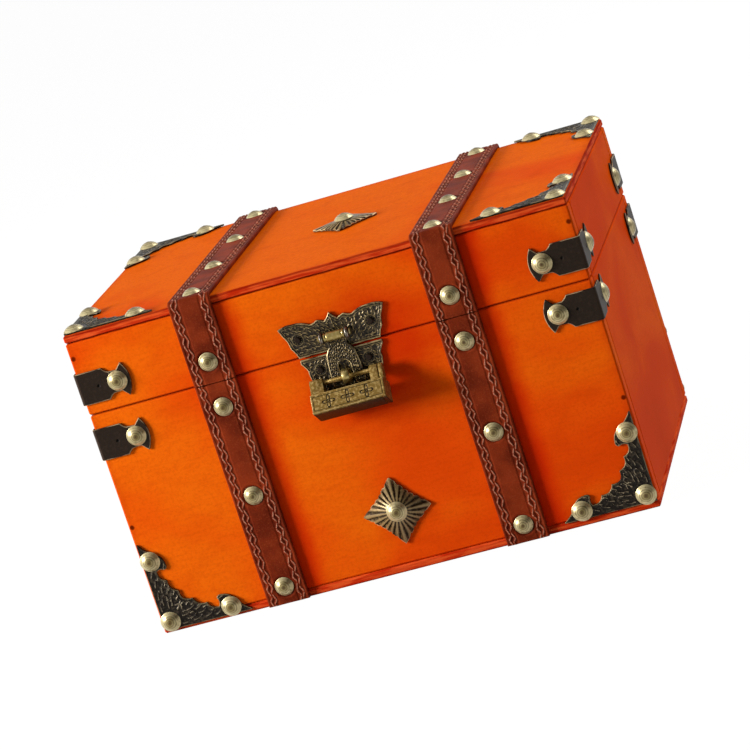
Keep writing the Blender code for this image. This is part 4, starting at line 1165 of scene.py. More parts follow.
@dataclass
class Straps:
    """Leather straps: two round the lid and four down the box, each with two sewn rows along both edges.

    Attributes:
        bend: Radius of the inner face at a square corner.
        stitch_leads: How far along its wave each row starts, as a share of a wave.
        stitch_insets: Distance of each row from the strap's edge.
        channel_reach: Distances from the edge at which the sunk channel starts, is full, shrinks and ends.
        dent_reach: Distances from a tack at which the dent round it is full and ends.
        dent_rim: Height, radius and width of the leather raised round a dent.
        tack_shade_reach: Distance from a tack within which the leather is painted dark as the shade in the dent
            round it.
    """

    bench: Bench
    x: float = STRAP_PLACE
    width: float = STRAP_WIDTH
    thickness: float = 2 * MM
    bend: float = 1.1 * MM
    step: float = 0.42 * MM
    edge_round: float = 0.6 * MM
    stitch_length: float = 6 * MM
    stitch_sway: float = 0.55 * MM
    stitch_leads: Pair = (0.0, 0.27)
    stitch_insets: Pair = (2.3 * MM, 3.95 * MM)
    stitch_width: float = 0.46 * MM
    stitch_height: float = 0.42 * MM
    channel_depth: float = 0.22 * MM
    dent: float = 0.4 * MM
    top_tack_edge: float = 8 * MM
    top_tack_inner: float = 26 * MM
    lid_tack_rise: float = 10 * MM
    body_tack_drops: tuple[float, ...] = (11.5 * MM, 55.3 * MM, 100.5 * MM)
    lip: float = 0.3 * MM
    channel_reach: tuple[float, float, float, float] = (0.9 * MM, 1.5 * MM, 5.0 * MM, 5.8 * MM)
    wave: float = 0.05 * MM
    between_width: float = 1.1 * MM
    dent_reach: Pair = (4.0 * MM, 5.4 * MM)
    dent_rim: Triple = (0.16 * MM, 5.7 * MM, 0.6 * MM)
    tack_shade_reach: float = 5 * MM

    def walk(self, corners: Rows) -> StrapRun:
        """Walks the inner face with quarter rounds: centre + b (n1 cos a + n2 sin a) at each corner.

        Args:
            corners: The path's ends and its square corners, as (y, z).

        Returns:
            The run.
        """
        path = np.array(corners, dtype=float)
        ways = np.diff(path, axis=0)
        ways /= np.linalg.norm(ways, axis=1, keepdims=True)
        places, outward = [], []
        for n, way in enumerate(ways):
            normal = np.array((-way[1], way[0]))
            start = path[n] + (way * self.bend if n else 0)
            end = path[n + 1] - (way * self.bend if n + 1 < len(ways) else 0)
            share = np.linspace(0, 1, max(2, round(float(np.hypot(*(end - start))) / self.step)))[:, None]
            places.append(start + (end - start) * share)
            outward.append(np.broadcast_to(normal, places[-1].shape))
            if n + 1 < len(ways):
                angle = np.linspace(0, math.pi / 2, 10)[1:-1, None]
                following = ways[n + 1]
                turn = normal * np.cos(angle) + np.array((-following[1], following[0])) * np.sin(angle)
                places.append(end - normal * self.bend + turn * self.bend)
                outward.append(turn)
        where, out = np.concatenate(places), np.concatenate(outward)
        middle = where + out * self.thickness / 2
        run = np.concatenate(([0], np.cumsum(np.linalg.norm(np.diff(middle, axis=0), axis=1))))
        return StrapRun(where, out, run)

    def section(self) -> tuple[np.ndarray, np.ndarray, np.ndarray]:
        """Gives the strap's section: distance across, height and whether the point is on the outer face."""
        half, turn = self.width / 2, self.edge_round
        outer = np.linspace(-half + turn, half - turn, 79)
        angle = np.linspace(math.pi / 2, 0, 5)[1:]
        corner_x, corner_z = half - turn + turn * np.cos(angle), self.thickness - turn + turn * np.sin(angle)
        under = np.array((half, half - self.lip, -half + self.lip, -half))
        across = np.concatenate((outer, corner_x, under, -corner_x[::-1]))
        lip = np.array((self.lip, 0, 0, self.lip))
        height = np.concatenate((np.full(len(outer), self.thickness), corner_z, lip, corner_z[::-1]))
        face = np.concatenate((np.ones(len(outer)), np.zeros(len(across) - len(outer))))
        return across, height, face

    def stitches(self, across: np.ndarray, run: np.ndarray) -> np.ndarray:
        """Gives how high the thread stands: exp(-(distance / width)^2) about lines that sway along it."""
        edge = self.width / 2 - np.abs(across)
        highest = np.zeros(np.broadcast_shapes(across.shape, run.shape))
        for lead, place in zip(self.stitch_leads, self.stitch_insets):
            phase = run / self.stitch_length + lead + np.where(across < 0, 0.37, 0.0)
            phase = phase + 0.1 * np.sin(run * 190 + across * 90) + 0.06 * np.sin(run * 470)
            sway = np.sin(math.tau * phase + 0.35 * np.sin(math.tau * phase))
            gap = np.abs(edge - place - self.stitch_sway * sway) / self.stitch_width
            part = 0.5 + 0.5 * smoothstep(0.02, 0.2, np.abs((phase * 2) % 1 - 0.5))
            highest = np.maximum(highest, np.exp(-gap ** 2) * part)
        return highest

    def surface(self, corners: Rows, tacks: Sequence[Pair]) -> Surface:
        """Sweeps the section along the path; the outer face rises over threads and sinks round tacks.

        Args:
            corners: The path of the inner face as (y, z).
            tacks: The places of the tacks as (y, z) on the path.

        Returns:
            The closed strap about X zero.
        """
        walk = self.walk(corners)
        across, height, face = self.section()
        run = walk.run[:, None]
        thread = self.stitches(across[None], run)
        edge = self.width / 2 - np.abs(across)[None]
        near, full, ending, far = self.channel_reach
        channel = smoothstep(near, full, edge) * (1 - smoothstep(ending, far, edge))
        wave = self.wave * np.sin(run * 310) * np.cos(across[None] * 240)
        relief = thread * self.stitch_height - channel * self.channel_depth + wave
        between = bell(edge, sum(self.stitch_insets) / 2, self.between_width)
        mark = thread * 1.5 - channel * (0.2 + 0.5 * between)
        for y, z in tacks:
            along = run - run[np.argmin(np.hypot(walk.places[:, 0] - y, walk.places[:, 1] - z))]
            away = np.hypot(along, across[None])
            relief = relief - self.dent * (1 - smoothstep(*self.dent_reach, away))
            relief = relief + self.dent_rim[0] * bell(away, *self.dent_rim[1:])
            # painted shade in the dent round each tack
            mark = np.where(away < self.tack_shade_reach, -0.6, mark)
        out = height[None] + relief * face[None]
        points = np.stack((
            np.broadcast_to(across[None], out.shape),
            walk.places[:, :1] + walk.outward[:, :1] * out,
            walk.places[:, 1:] + walk.outward[:, 1:] * out), axis=-1)
        shape = capped(points.reshape(-1, 3), out.shape[1], (points[0].mean(0), points[-1].mean(0)))
        return shape.marked(Mark.RAISED, np.append((mark * face[None]).ravel(), (0, 0)))

    def build(self) -> None:
        """Makes the straps and their tacks."""
        depth, top = HALF_DEPTH + SEAT_GAP, BOX_HEIGHT + SEAT_GAP
        edge, inner = HALF_DEPTH - self.top_tack_edge, self.top_tack_inner
        rise = LID_BOTTOM + self.lid_tack_rise
        lid_tacks = [(-depth, rise), (-edge, top), (-inner, top), (inner, top), (edge, top), (depth, rise)]
        run = [(-depth, LID_BOTTOM), (-depth, top), (depth, top), (depth, LID_BOTTOM)]
        lid = self.surface(run, lid_tacks)
        out = self.thickness - TACK_SINK - self.dent / 2
        dome = self.bench.tacks.on_strap()
        places = [standing(Face.TOP, (0, y, top + out)) for y in (-edge, -inner, inner, edge)]
        places += [seated(face, 0, rise, SEAT_GAP + out) for face in (Face.FRONT, Face.BACK)]
        heads = scattered(dome, places)
        for side, sign in SIDES.items():
            self.bench.tacked("lid_strap_" + side, lid, heads, "leather", shifted(sign * self.x))
        high = PARTING_HEIGHT
        body_tacks = [(-depth, high - drop) for drop in self.body_tack_drops]
        body = self.surface([(-depth, SEAT_GAP), (-depth, high)], body_tacks)
        drops = self.body_tack_drops
        heads = scattered(dome, [seated(Face.FRONT, 0, high - drop, SEAT_GAP + out) for drop in drops])
        for side, sign in SIDES.items():
            for end in ENDS:
                turn = turned("Z", math.pi if end == "back" else 0.0)
                seat = shifted(sign * self.x) @ turn
                self.bench.tacked(f"{end}_strap_{side}", body, heads, "leather", seat)


@dataclass
class Clips:
    """Edge clips folded round the upright edges, with a fishtail at the end of each leg."""

    bench: Bench
    leg: float = 24.8 * MM
    width: float = 15.2 * MM
    thickness: float = 0.8 * MM
    fold: float = 0.5 * MM
    tack: float = 18.4 * MM
    hole: float = 9.4 * MM
    hole_radius: float = 0.7 * MM
    hole_depth: float = 0.5 * MM
    worn_width: float = 0.8 * MM
    rim: float = 0.32 * MM
    edge_step: float = 0.4 * MM
    step: float = 0.42 * MM
    lid_height: float = 122 * MM
    box_heights: dict[str, float] = field(default_factory=lambda: {
        "front_left": 94.9 * MM, "front_right": 97.8 * MM, "back_left": 96.4 * MM, "back_right": 96.4 * MM})
    edge_shares: tuple[Triple, ...] = (
        (0.0, 1.0, 0.0), (0.52, 1.0, -0.01), (0.625, 0.69, 0.0), (0.786, 0.66, 0.0), (0.903, 1.05, 0.105))

    def relief(self, points: np.ndarray, edge: np.ndarray) -> tuple[np.ndarray, np.ndarray]:
        """Sinks a small dent for the hole in each leg, painted dark as the hole's shade, and wears the fold
        bright.
        """
        along = np.abs(points[:, 0])
        away = np.hypot(along - self.hole, points[:, 1])
        hole = 1 - smoothstep(self.hole_radius * 0.7, self.hole_radius, away)
        worn = bell(points[:, 0], 0, self.worn_width)
        # the hole's dent takes the pit colour as painted shade
        return -self.hole_depth * hole, worn * 0.9 - hole * 2

    def folded(self, flat: Surface) -> Surface:
        """Folds a flat strip: legs run straight, the middle turns as c + (r + z)(sin, cos)(s / r - 45 deg).

        Args:
            flat: The strip, with its fold at X zero.

        Returns:
            The clip about the corner of the box.
        """
        s, across, out = flat.points.T
        arc = self.fold * math.pi / 4
        stretch = (self.leg - self.fold) / (self.leg - arc)
        angle = np.clip(s, -arc, arc) / self.fold - math.pi / 4
        radius = self.fold + out
        extra = (np.abs(s) - arc).clip(0) * stretch
        x = self.fold + radius * np.sin(angle) + np.where(s > arc, extra, 0)
        z = -self.fold + radius * np.cos(angle) - np.where(s < -arc, extra, 0)
        return Surface(np.column_stack((x, across, z)), flat.faces, flat.marks)

    def build(self) -> None:
        """Makes the eight clips and their tacks."""
        leg = with_mirror(sized(self.edge_shares, self.leg, -self.width / 2), ALONG)
        outline = walked(with_mirror(leg, ACROSS), self.edge_step)
        flat = Plate(outline, self.thickness, self.rim, self.step, self.relief).surface()
        clip = self.folded(flat).outwards()
        along, out = self.tack + SEAT_GAP, self.thickness - TACK_SINK
        heads = scattered(self.bench.tacks.on_metal(), [
            shifted(along, 0, out), shifted(-out, 0, -along) @ turned("Y", -math.pi / 2)])
        for corner, face in CORNERS.items():
            end, side = corner.split("_")
            x, y = SIDES[side] * (HALF_WIDTH + SEAT_GAP), ENDS[end] * (HALF_DEPTH + SEAT_GAP)
            for body, height in (("lid", self.lid_height), ("box", self.box_heights[corner])):
                seat = standing(face, (x, y, height))
                self.bench.tacked(f"{body}_clip_{corner}", clip, heads, "clip_metal", seat)


@dataclass(frozen=True)
class Scrolls:
    """Strokes of one kind on a corner plate: places in millimetres, angles in degrees."""

    x: tuple[float, ...]
    y: tuple[float, ...]
    headings: Sequence[float]
    length: float
    curl: float
    width: float


@dataclass
class CornerPlates:
    """Flat corner plates with a scalloped inner edge and scrolls in relief.

    Attributes:
        rises: Height of the lower plates' bottom edges on each side.
        inner_reach: Distances from the straight edges at which the rim line starts and is full.
        line: Height of the rim line, its distance from the edge and its width.
        ground_reach: Distances from the edge at which the scrolls start and are full.
    """

    bench: Bench
    leg: float = 43.2 * MM
    thickness: float = 0.8 * MM
    near_tack: float = 3.9 * MM
    far_tack: float = 34.1 * MM
    edge_inset: float = 0.8 * MM
    rises: dict[str, float] = field(default_factory=lambda: {"left": 1.5 * MM, "right": 3.5 * MM})
    edge_shares: tuple[Triple, ...] = (
        (1.0, 0.0, 0.0), (1.0, 0.012, -0.012), (0.857, 0.153, 0.025), (0.722, 0.243, 0.016),
        (0.662, 0.213, -0.014), (0.662, 0.123, -0.03), (0.544, 0.201, -0.035), (0.407, 0.287, -0.052))
    scrolls: tuple[Scrolls, ...] = (
        Scrolls((9, 12, 10, 15, 18, 13, 21, 24, 17, 26), (1.8, 3.4, 5.4, 2.0, 4.6, 7.4, 2.2, 4.4, 6.6, 1.8),
                np.linspace(-6, 22, 10), 5.8 * MM, 75, 0.4 * MM),
        Scrolls((9, 11, 13.5, 16, 18.5, 21, 11, 14, 8.5), (8.6, 10.2, 9.8, 9.2, 7.8, 6.6, 7.0, 5.6, 11.0),
                np.linspace(60, 15, 9), 3.2 * MM, -110, 0.36 * MM),
        Scrolls((29.5, 38.6, 31.8, 36), (9.2, 1.6, 9.8, 5.6), (200, 160, 190, 150), 2.6 * MM, 60, 0.34 * MM))
    edge_step: float = 0.34 * MM
    step: float = 0.33 * MM
    rim: float = 0.25 * MM
    inner_reach: Pair = (1.0 * MM, 1.6 * MM)
    line: Triple = (0.06 * MM, 0.25 * MM, 0.22 * MM)
    ground_reach: Pair = (0.1 * MM, 0.7 * MM)
    ground_depth: float = 0.18 * MM
    scroll_height: float = 0.38 * MM

    def strokes(self) -> np.ndarray:
        """Lays the scrolls out along one leg and mirrors them in the diagonal."""
        one = np.concatenate([
            comma_strokes(np.array((each.x, each.y)).T * MM, np.radians(each.headings),
                          each.length, math.radians(each.curl), each.width)
            for each in self.scrolls])
        return np.concatenate((one, one[:, (1, 0, 2)]))

    def relief(self, points: np.ndarray, edge: np.ndarray) -> tuple[np.ndarray, np.ndarray]:
        """Raises scrolls and a thin rim from a slightly sunk ground."""
        scroll = stroke_height(points, self.strokes())
        rim = bell(edge, *self.line[1:]) * smoothstep(*self.inner_reach, points.min(1))
        ground = smoothstep(*self.ground_reach, edge)
        height = (self.scroll_height * scroll - self.ground_depth) * ground + self.line[0] * rim
        return height, np.maximum(scroll ** 2 * 1.15, rim * 0.7)

    def build(self) -> None:
        """Makes the eight plates and their tacks."""
        half = sized(self.edge_shares, self.leg, self.leg)
        corners = np.vstack((with_mirror(half, DIAGONAL), (0.0, 0.0, 0.0)))
        outline = walked(corners, self.edge_step)
        plate = Plate(outline, self.thickness, self.rim, self.step, self.relief).surface()
        near, far, out = self.near_tack, self.far_tack, self.thickness - TACK_SINK
        heads = scattered(self.bench.tacks.on_metal(), [shifted(x, y, out) for x, y in (
            (near, near), (far, near), (near, far))])
        for side, x_sign in SIDES.items():
            for end, y_sign in ENDS.items():
                face = Face.FRONT if end == "front" else Face.BACK
                turn = 0.0 if x_sign == y_sign else math.pi / 2
                x = x_sign * (HALF_WIDTH - self.edge_inset)
                low = seated(face, x, self.rises[side], turn=turn)
                turn += 0.0 if end == "front" else math.pi
                y = y_sign * (HALF_DEPTH - self.edge_inset)
                high = seated(Face.TOP, x, y, turn=turn)
                self.bench.tacked(f"{end}_corner_plate_{side}", plate, heads, "plate_metal", low)
                self.bench.tacked(f"lid_corner_plate_{end}_{side}", plate, heads, "plate_metal", high)


@dataclass
class Medallions:
    """Fluted diamonds, one on the front and one on top, each held by a tack.

    Attributes:
        rim, crown: Heights of the edge and of the middle.
        swell: Slope that only the finish adds, to tilt the light.
        edge_angles: Degrees from the nearest corner.
        edge_shares: Distance of the edge from the middle at those angles, as shares of half the span.
    """

    bench: Bench
    span: float = 32 * MM
    rim: float = 0.7 * MM
    crown: float = 1.9 * MM
    seat_radius: float = 5.4 * MM
    flutes_per_side: int = 6
    steps_per_flute: int = 10
    rings: int = 26
    flute_depth: float = 0.65 * MM
    groove_width_share: float = 0.13
    scallop_share: float = 0.05
    swell: float = 0.6
    front_x: float = 3.9 * MM
    front_height: float = 29.4 * MM
    lid_x: float = 3 * MM
    lid_y: float = -2 * MM
    turn: float = math.radians(-2.5)
    edge_angles: tuple[float, ...] = (0, 11.25, 22.5, 33.75, 45)
    edge_shares: tuple[float, ...] = (1.0, 0.83, 0.74, 0.68, 0.66)

    def surface(self) -> Surface:
        """Gives the diamond: rings from edge to seat, with flutes that rise as |cos| of their phase."""
        flutes = self.flutes_per_side * 4
        columns = flutes * self.steps_per_flute
        turns = np.arange(columns) / columns
        corner = np.abs((turns * 4 + 0.5) % 1 - 0.5) * 90
        share = np.interp(corner, self.edge_angles, self.edge_shares)
        phase = (turns * flutes) % 1
        groove = bell(phase, 0.5, self.groove_width_share)
        ridge = np.abs(np.cos(math.pi * phase))
        scallop = self.scallop_share * ridge ** 6 * smoothstep(1.0, 8.0, corner)
        edge = self.span / 2 * share * (1 - scallop)
        level = np.linspace(1, 0, self.rings)[:, None]
        radius = self.seat_radius + (edge - self.seat_radius) * level
        slope = self.rim + (self.crown - self.rim) * (1 - level) ** 0.8
        depth = self.flute_depth * np.sin(math.pi * np.clip(1 - level * 0.9, 0, 1)) ** 0.6 * (level ** 0.35)
        top = slope + depth * (0.35 * ridge - groove) * smoothstep(0.0, 0.12, level)
        angle = turns * math.tau
        ring = np.stack((radius * np.cos(angle), radius * np.sin(angle), top), axis=-1)
        low = np.stack((edge * np.cos(angle), edge * np.sin(angle), np.zeros(columns)), axis=-1)[None]
        points = np.concatenate((low, ring)).reshape(-1, 3)
        worn = 0.75 * ridge - 0.8 * groove * (1 - 0.7 * level)
        outer = np.repeat(smoothstep(0.93, 1.0, level), columns)
        raised = np.concatenate((np.zeros(columns), worn.ravel(), (0, 0)))
        rim = np.concatenate((np.zeros(columns), outer, (0, 0)))
        tilt = -self.swell * np.concatenate((edge, radius.ravel(), (0, 0)))
        shape = capped(points, columns, ((0, 0, 0), (0, 0, self.crown)))
        return shape.marked(Mark.RAISED, raised).marked(Mark.RIM, rim).marked(Mark.SWELL, tilt)

    def build(self) -> None:
        """Makes both medallions and their tacks."""
        shape, head = self.surface(), self.bench.tacks.on_metal()
        seats = {
            "front": seated(Face.FRONT, self.front_x, self.front_height, turn=self.turn),
            "lid": seated(Face.TOP, self.lid_x, self.lid_y)}
        for name, seat in seats.items():
            node = name + "_medallion"
            self.bench.piece(node + "_metal", shape.moved(seat), "medallion_metal", node)
            above = seat @ shifted(z=self.crown + SEAT_GAP)
            self.bench.piece(node + "_head", head.moved(above), "tack_brass", node + "_tack")


@dataclass
class Latch:
    """The butterfly latch: upper plate with rings, hasp with its barrel, lower plate and staple ring.

    Attributes:
        upper_eye, lower_eye: Distances of a plate's brads from its middle line and from the parting.
        ground_reach, crackle_reach: Distances from the edge at which the ornament starts and is full.
        eye_reach: Distance from a brad at which the veins are full.
        outer_line, inner_line, hasp_line: Distance from the edge and width of each raised line.
        bead_line: Radius and width of the ring of beads round a brad.
        vein_pitch: Distances between veins across and up, in millimetres.
        ring_shares: Radius and distance from the middle along a ring's section, as shares of its sizes.
    """

    bench: Bench
    x: float = 2.3 * MM
    thickness: float = 1.1 * MM
    upper_half_span: float = 25.1 * MM
    upper_rise: float = 17.3 * MM
    upper_shares: tuple[Triple, ...] = (
        (0.773, 0.0, -0.01), (0.865, 0.29, 0.0), (0.885, 0.46, -0.008), (0.945, 0.665, 0.0),
        (1.0, 0.87, 0.01), (0.80, 0.935, 0.0), (0.62, 0.92, 0.012), (0.40, 0.80, -0.01),
        (0.26, 0.87, 0.01), (0.13, 0.79, -0.01), (0.0, 1.0, 0.0))
    lower_half_span: float = 19.5 * MM
    lower_drop: float = 23.6 * MM
    lower_shares: tuple[Triple, ...] = (
        (1.0, 0.03, 0.0), (1.0, 0.11, -0.01), (0.89, 0.27, 0.01), (0.87, 0.46, 0.06), (0.52, 0.84, -0.02),
        (0.20, 0.88, 0.02), (0.0, 1.0, 0.0))
    upper_eye: Pair = (17.4 * MM, 8.5 * MM)
    lower_eye: Pair = (11.6 * MM, 7 * MM)
    eye_radius: float = 2.6 * MM
    pin_height: float = 116.2 * MM
    pin_out: float = 3.9 * MM
    pin_bore: float = 1.1 * MM
    barrel_radius: float = 2.3 * MM
    barrel_width: float = 9.6 * MM
    hasp_thickness: float = 1.2 * MM
    hasp_lift: float = 0.4 * MM
    hasp_half_width: float = 7.7 * MM
    hasp_drop: float = 23.6 * MM
    hasp_shares: tuple[Triple, ...] = (
        (0.56, 0.0, 0.0), (0.56, 0.21, 0.02), (0.88, 0.366, 0.0), (0.96, 0.58, 0.0), (1.0, 0.77, 0.0),
        (1.0, 0.97, 0.0), (0.94, 1.0, 0.0), (0.36, 1.0, 0.0), (0.36, 0.62, -0.10), (0.0, 0.51, 0.0))
    ring_radius: float = 2.9 * MM
    ring_width: float = 1.6 * MM
    ring_gap: float = 0.5 * MM
    staple_height: float = 97.1 * MM
    staple_out: float = 4.9 * MM
    staple_radius: float = 3.5 * MM
    staple_hole: float = 2.4 * MM
    staple_width: float = 3.6 * MM
    staple_bead: float = 0.35 * MM
    sides: int = 40
    ring_sides: int = 32
    foot_width: float = 3 * MM
    foot_rise: float = 1.5 * MM
    ring_foot_width: float = 1.2 * MM
    ring_foot_rise: float = 1.3 * MM
    sink: float = 0.3 * MM
    foot_gap: float = 0.2 * MM
    edge_step: float = 0.3 * MM
    rim: float = 0.25 * MM
    hasp_edge_step: float = 0.28 * MM
    hasp_step: float = 0.26 * MM
    hasp_rim: float = 0.28 * MM
    foot_step: float = 0.6 * MM
    foot_rim: float = 0.15 * MM
    ground_depth: float = 0.2 * MM
    ground_reach: Pair = (0.9 * MM, 1.5 * MM)
    eye_reach: float = 3.2 * MM
    pit_reach: float = 1.3 * MM
    pit_depth: float = 0.12 * MM
    relief_height: float = 0.38 * MM
    outer_line: Pair = (0.2 * MM, 0.2 * MM)
    inner_line: Pair = (1.05 * MM, 0.22 * MM)
    eye_line: float = 0.28 * MM
    bead_line: Pair = (1.75 * MM, 0.32 * MM)
    beads: int = 10
    bead_height: float = 0.2 * MM
    vein_pitch: Pair = (2.1, 1.9)
    vein_stray: float = 0.35 * MM
    vein_root: float = 3 * MM
    vein_length: float = 2.1 * MM
    vein_width: float = 0.34 * MM
    crackle_size: float = 0.95 * MM
    crackle_reach: Pair = (0.4 * MM, 0.8 * MM)
    crackle_height: float = 0.36 * MM
    hasp_line: Pair = (0.2 * MM, 0.22 * MM)
    groove_width: float = 0.3 * MM
    groove_inset: float = 1.1 * MM
    ring_shares: tuple[Pair, ...] = ((0.72, 1), (0.93, 0.8), (1, 0.3), (0.9, 0))

    def plate_relief(self, eye: Pair, seed: int) -> Relief:
        """Gives the relief of a latch plate: double rims, eye rings round its brads, veins and beads.

        Args:
            eye: Distance of a brad across and up from the plate's middle.
            seed: Start of the random numbers.

        Returns:
            The relief function.
        """
        chance = np.random.default_rng(seed)
        across, up = self.vein_pitch
        rows, columns = np.meshgrid(np.arange(0.8, 24, up), np.arange(-25, 25, across))
        starts = np.column_stack((columns.ravel(), rows.ravel())) * MM
        starts += chance.uniform(-1, 1, starts.shape) * self.vein_stray
        headings = np.arctan2(starts[:, 1] + self.vein_root, starts[:, 0])
        headings += chance.uniform(-0.5, 0.5, len(starts))
        strokes = comma_strokes(starts, headings, self.vein_length, math.radians(80), self.vein_width)

        def relief(points: np.ndarray, edge: np.ndarray) -> tuple[np.ndarray, np.ndarray]:
            """Raises the ornament from the ground."""
            away = np.hypot(np.abs(points[:, 0]) - eye[0], points[:, 1] - eye[1])
            ground = smoothstep(*self.ground_reach, edge)
            ground = ground * smoothstep(self.eye_radius, self.eye_reach, away)
            veins = stroke_height(points, strokes) * ground
            rims = np.maximum(bell(edge, *self.outer_line), 0.8 * bell(edge, *self.inner_line))
            rings = bell(away, self.eye_radius, self.eye_line)
            raised = np.maximum(np.maximum(veins * 0.85, rims * 0.9), rings * 0.7)
            pit = 1 - smoothstep(self.pit_reach, self.eye_radius, away)
            angle = np.arctan2(points[:, 1] - eye[1], np.abs(points[:, 0]) - eye[0])
            bead = bell(away, *self.bead_line) * (0.5 + 0.5 * np.cos(self.beads * angle))
            height = self.relief_height * raised - self.pit_depth * pit + self.bead_height * bead
            return height - self.ground_depth, raised * 1.35 - 0.2 - pit * 1.2 + bead * 2

        return relief

    def plate(
            self, shares: Rows, half_span: float, rise: float,
            eye: Pair, seed: int) -> Surface:
        """Gives a latch plate.

        Args:
            shares: Half its outline, from the parting to the far end.
            half_span: Half its greatest width.
            rise: Its height.
            eye: Distance of a brad across and up from the plate's middle.
            seed: Start of the random numbers that lay out the veins.

        Returns:
            The plate, with the parting at Y zero.
        """
        outline = walked(with_mirror(sized(shares, half_span, rise), ACROSS), self.edge_step)
        relief = self.plate_relief(eye, seed)
        return Plate(outline, self.thickness, self.rim, self.edge_step, relief).surface()

    def hasp_relief(self, points: np.ndarray, edge: np.ndarray) -> tuple[np.ndarray, np.ndarray]:
        """Covers the hasp with a crackle of raised lines inside a plain rim."""
        crackle = cell_border(points * (1, 0.7), self.crackle_size, 4) * smoothstep(*self.crackle_reach, edge)
        raised = np.maximum(crackle, bell(edge, *self.hasp_line))
        return self.crackle_height * raised - self.ground_depth, raised * 1.2 - 0.35

    def barrel(self) -> Surface:
        """Gives the rolled barrel: a tube whose radius dips in a groove at each end."""
        half = self.barrel_width / 2
        along = np.linspace(-half, half, 60)
        groove = bell(np.abs(along), half - self.groove_inset, self.groove_width)
        swell = self.barrel_radius * (1 - 0.12 * groove - 0.05 * (np.abs(along) / half) ** 8)
        outer = np.column_stack((swell, along))
        inner = np.array(((self.pin_bore, half), (self.pin_bore, -half)))
        return spindle(np.vstack((outer, inner, outer[:1])), self.sides, self.pin_place(0.0))

    def pin_place(self, x: float) -> Triple:
        """Gives a place on the hasp pin's line, a distance to the right of its middle."""
        return on_face(Face.FRONT, self.x + x, self.pin_height, self.pin_out)

    def band(
            self, bore: float, half: float, rows: np.ndarray, sides: int, centre: Sequence[float]) -> Surface:
        """Turns a bored band about a line along X.

        Args:
            bore: Radius of its hole.
            half: Half its width.
            rows: Radius and distance along the profile, from one side to the middle; its mirror follows.
            sides: Number of steps round.
            centre: Where its middle goes.

        Returns:
            The closed band.
        """
        mirror = rows[-2::-1] * (1, -1)
        return spindle(np.vstack(((bore, -half), rows, mirror, (bore, half), (bore, -half))), sides, centre)

    def ring(self, x: float) -> Surface:
        """Gives one turned ring with a bead round its edge and a bored middle."""
        half = self.ring_width / 2
        rows = np.array(self.ring_shares) * (self.ring_radius, -half)
        return self.band(self.pin_bore, half, rows, self.ring_sides, self.pin_place(x))

    def staple(self) -> Surface:
        """Gives the staple's ring, a band with rounded edges."""
        half, bead = self.staple_width / 2, self.staple_bead
        rows = np.array((
            (self.staple_hole + bead, -half), (self.staple_radius - bead, -half),
            (self.staple_radius, bead - half), (self.staple_radius * 0.97, 0)))
        place = on_face(Face.FRONT, self.x, self.staple_height, self.staple_out)
        return self.band(self.staple_hole, half - bead, rows, self.sides, place)

    def block(
            self, x: float, width: float, out: Pair, middle: float, rise: float) -> Surface:
        """Gives a foot between two distances out from the wood and two heights, with small chamfers.

        Args:
            x: Place of its middle.
            width: Size across.
            out: Nearest and furthest distance out.
            middle: Height of its middle.
            rise: Half its height.

        Returns:
            The closed block.
        """
        outline = walked(rectangle(width / 2, rise), self.foot_step)
        plate = Plate(outline, out[1] - out[0], self.foot_rim, self.foot_step).surface()
        return plate.moved(seated(Face.FRONT, x, middle, out[0]))

    def build(self) -> None:
        """Makes the latch's pieces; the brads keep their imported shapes."""
        face = SEAT_GAP + self.thickness
        upper = self.plate(self.upper_shares, self.upper_half_span, self.upper_rise, self.upper_eye, 1)
        upper = upper.moved(seated(Face.FRONT, self.x, LID_BOTTOM))
        self.bench.piece("latch_plate_upper_metal", upper, "latch_metal", "latch_plate_upper")
        ring_x = self.barrel_width / 2 + self.ring_gap + self.ring_width / 2
        reach = (face - self.sink, self.pin_out - self.pin_bore)
        places = [side * ring_x for side in SIDES.values()]
        rings = [self.ring(x) for x in places]
        rings += [
            self.block(self.x + x, self.ring_foot_width, reach, self.pin_height, self.ring_foot_rise)
            for x in places]
        self.bench.piece("latch_rings", joined(rings), "steel", "latch_plate_upper")

        lower = self.plate(self.lower_shares, self.lower_half_span, self.lower_drop, self.lower_eye, 2)
        lower = lower.moved(seated(Face.FRONT, self.x, PARTING_HEIGHT, turn=math.pi))
        self.bench.piece("latch_plate_lower_metal", lower, "latch_metal", "latch_plate_lower")
        reach = (face, self.staple_out - self.staple_hole - self.foot_gap)
        foot = self.block(self.x, self.foot_width, reach, self.staple_height, self.foot_rise)
        self.bench.piece("latch_staple_ring", joined([self.staple(), foot]), "bright_metal", "latch_staple")

        corners = with_mirror(sized(self.hasp_shares, self.hasp_half_width, self.hasp_drop), ACROSS)
        outline = walked(corners, self.hasp_edge_step)
        hasp = Plate(outline, self.hasp_thickness, self.hasp_rim, self.hasp_step, self.hasp_relief).surface()
        hasp = hasp.moved(seated(Face.FRONT, self.x, self.pin_height, face + self.hasp_lift, math.pi))
        self.bench.piece("hasp_metal", hasp, "latch_metal", "hasp")
        self.bench.piece("hasp_barrel", self.barrel(), "bright_metal", "hasp")
        self.bench.dress("hasp_pin", "bright_metal")
        for level in ("upper", "lower"):
            for side in SIDES:
                self.bench.dress(f"latch_brad_{level}_{side}", "clip_metal")


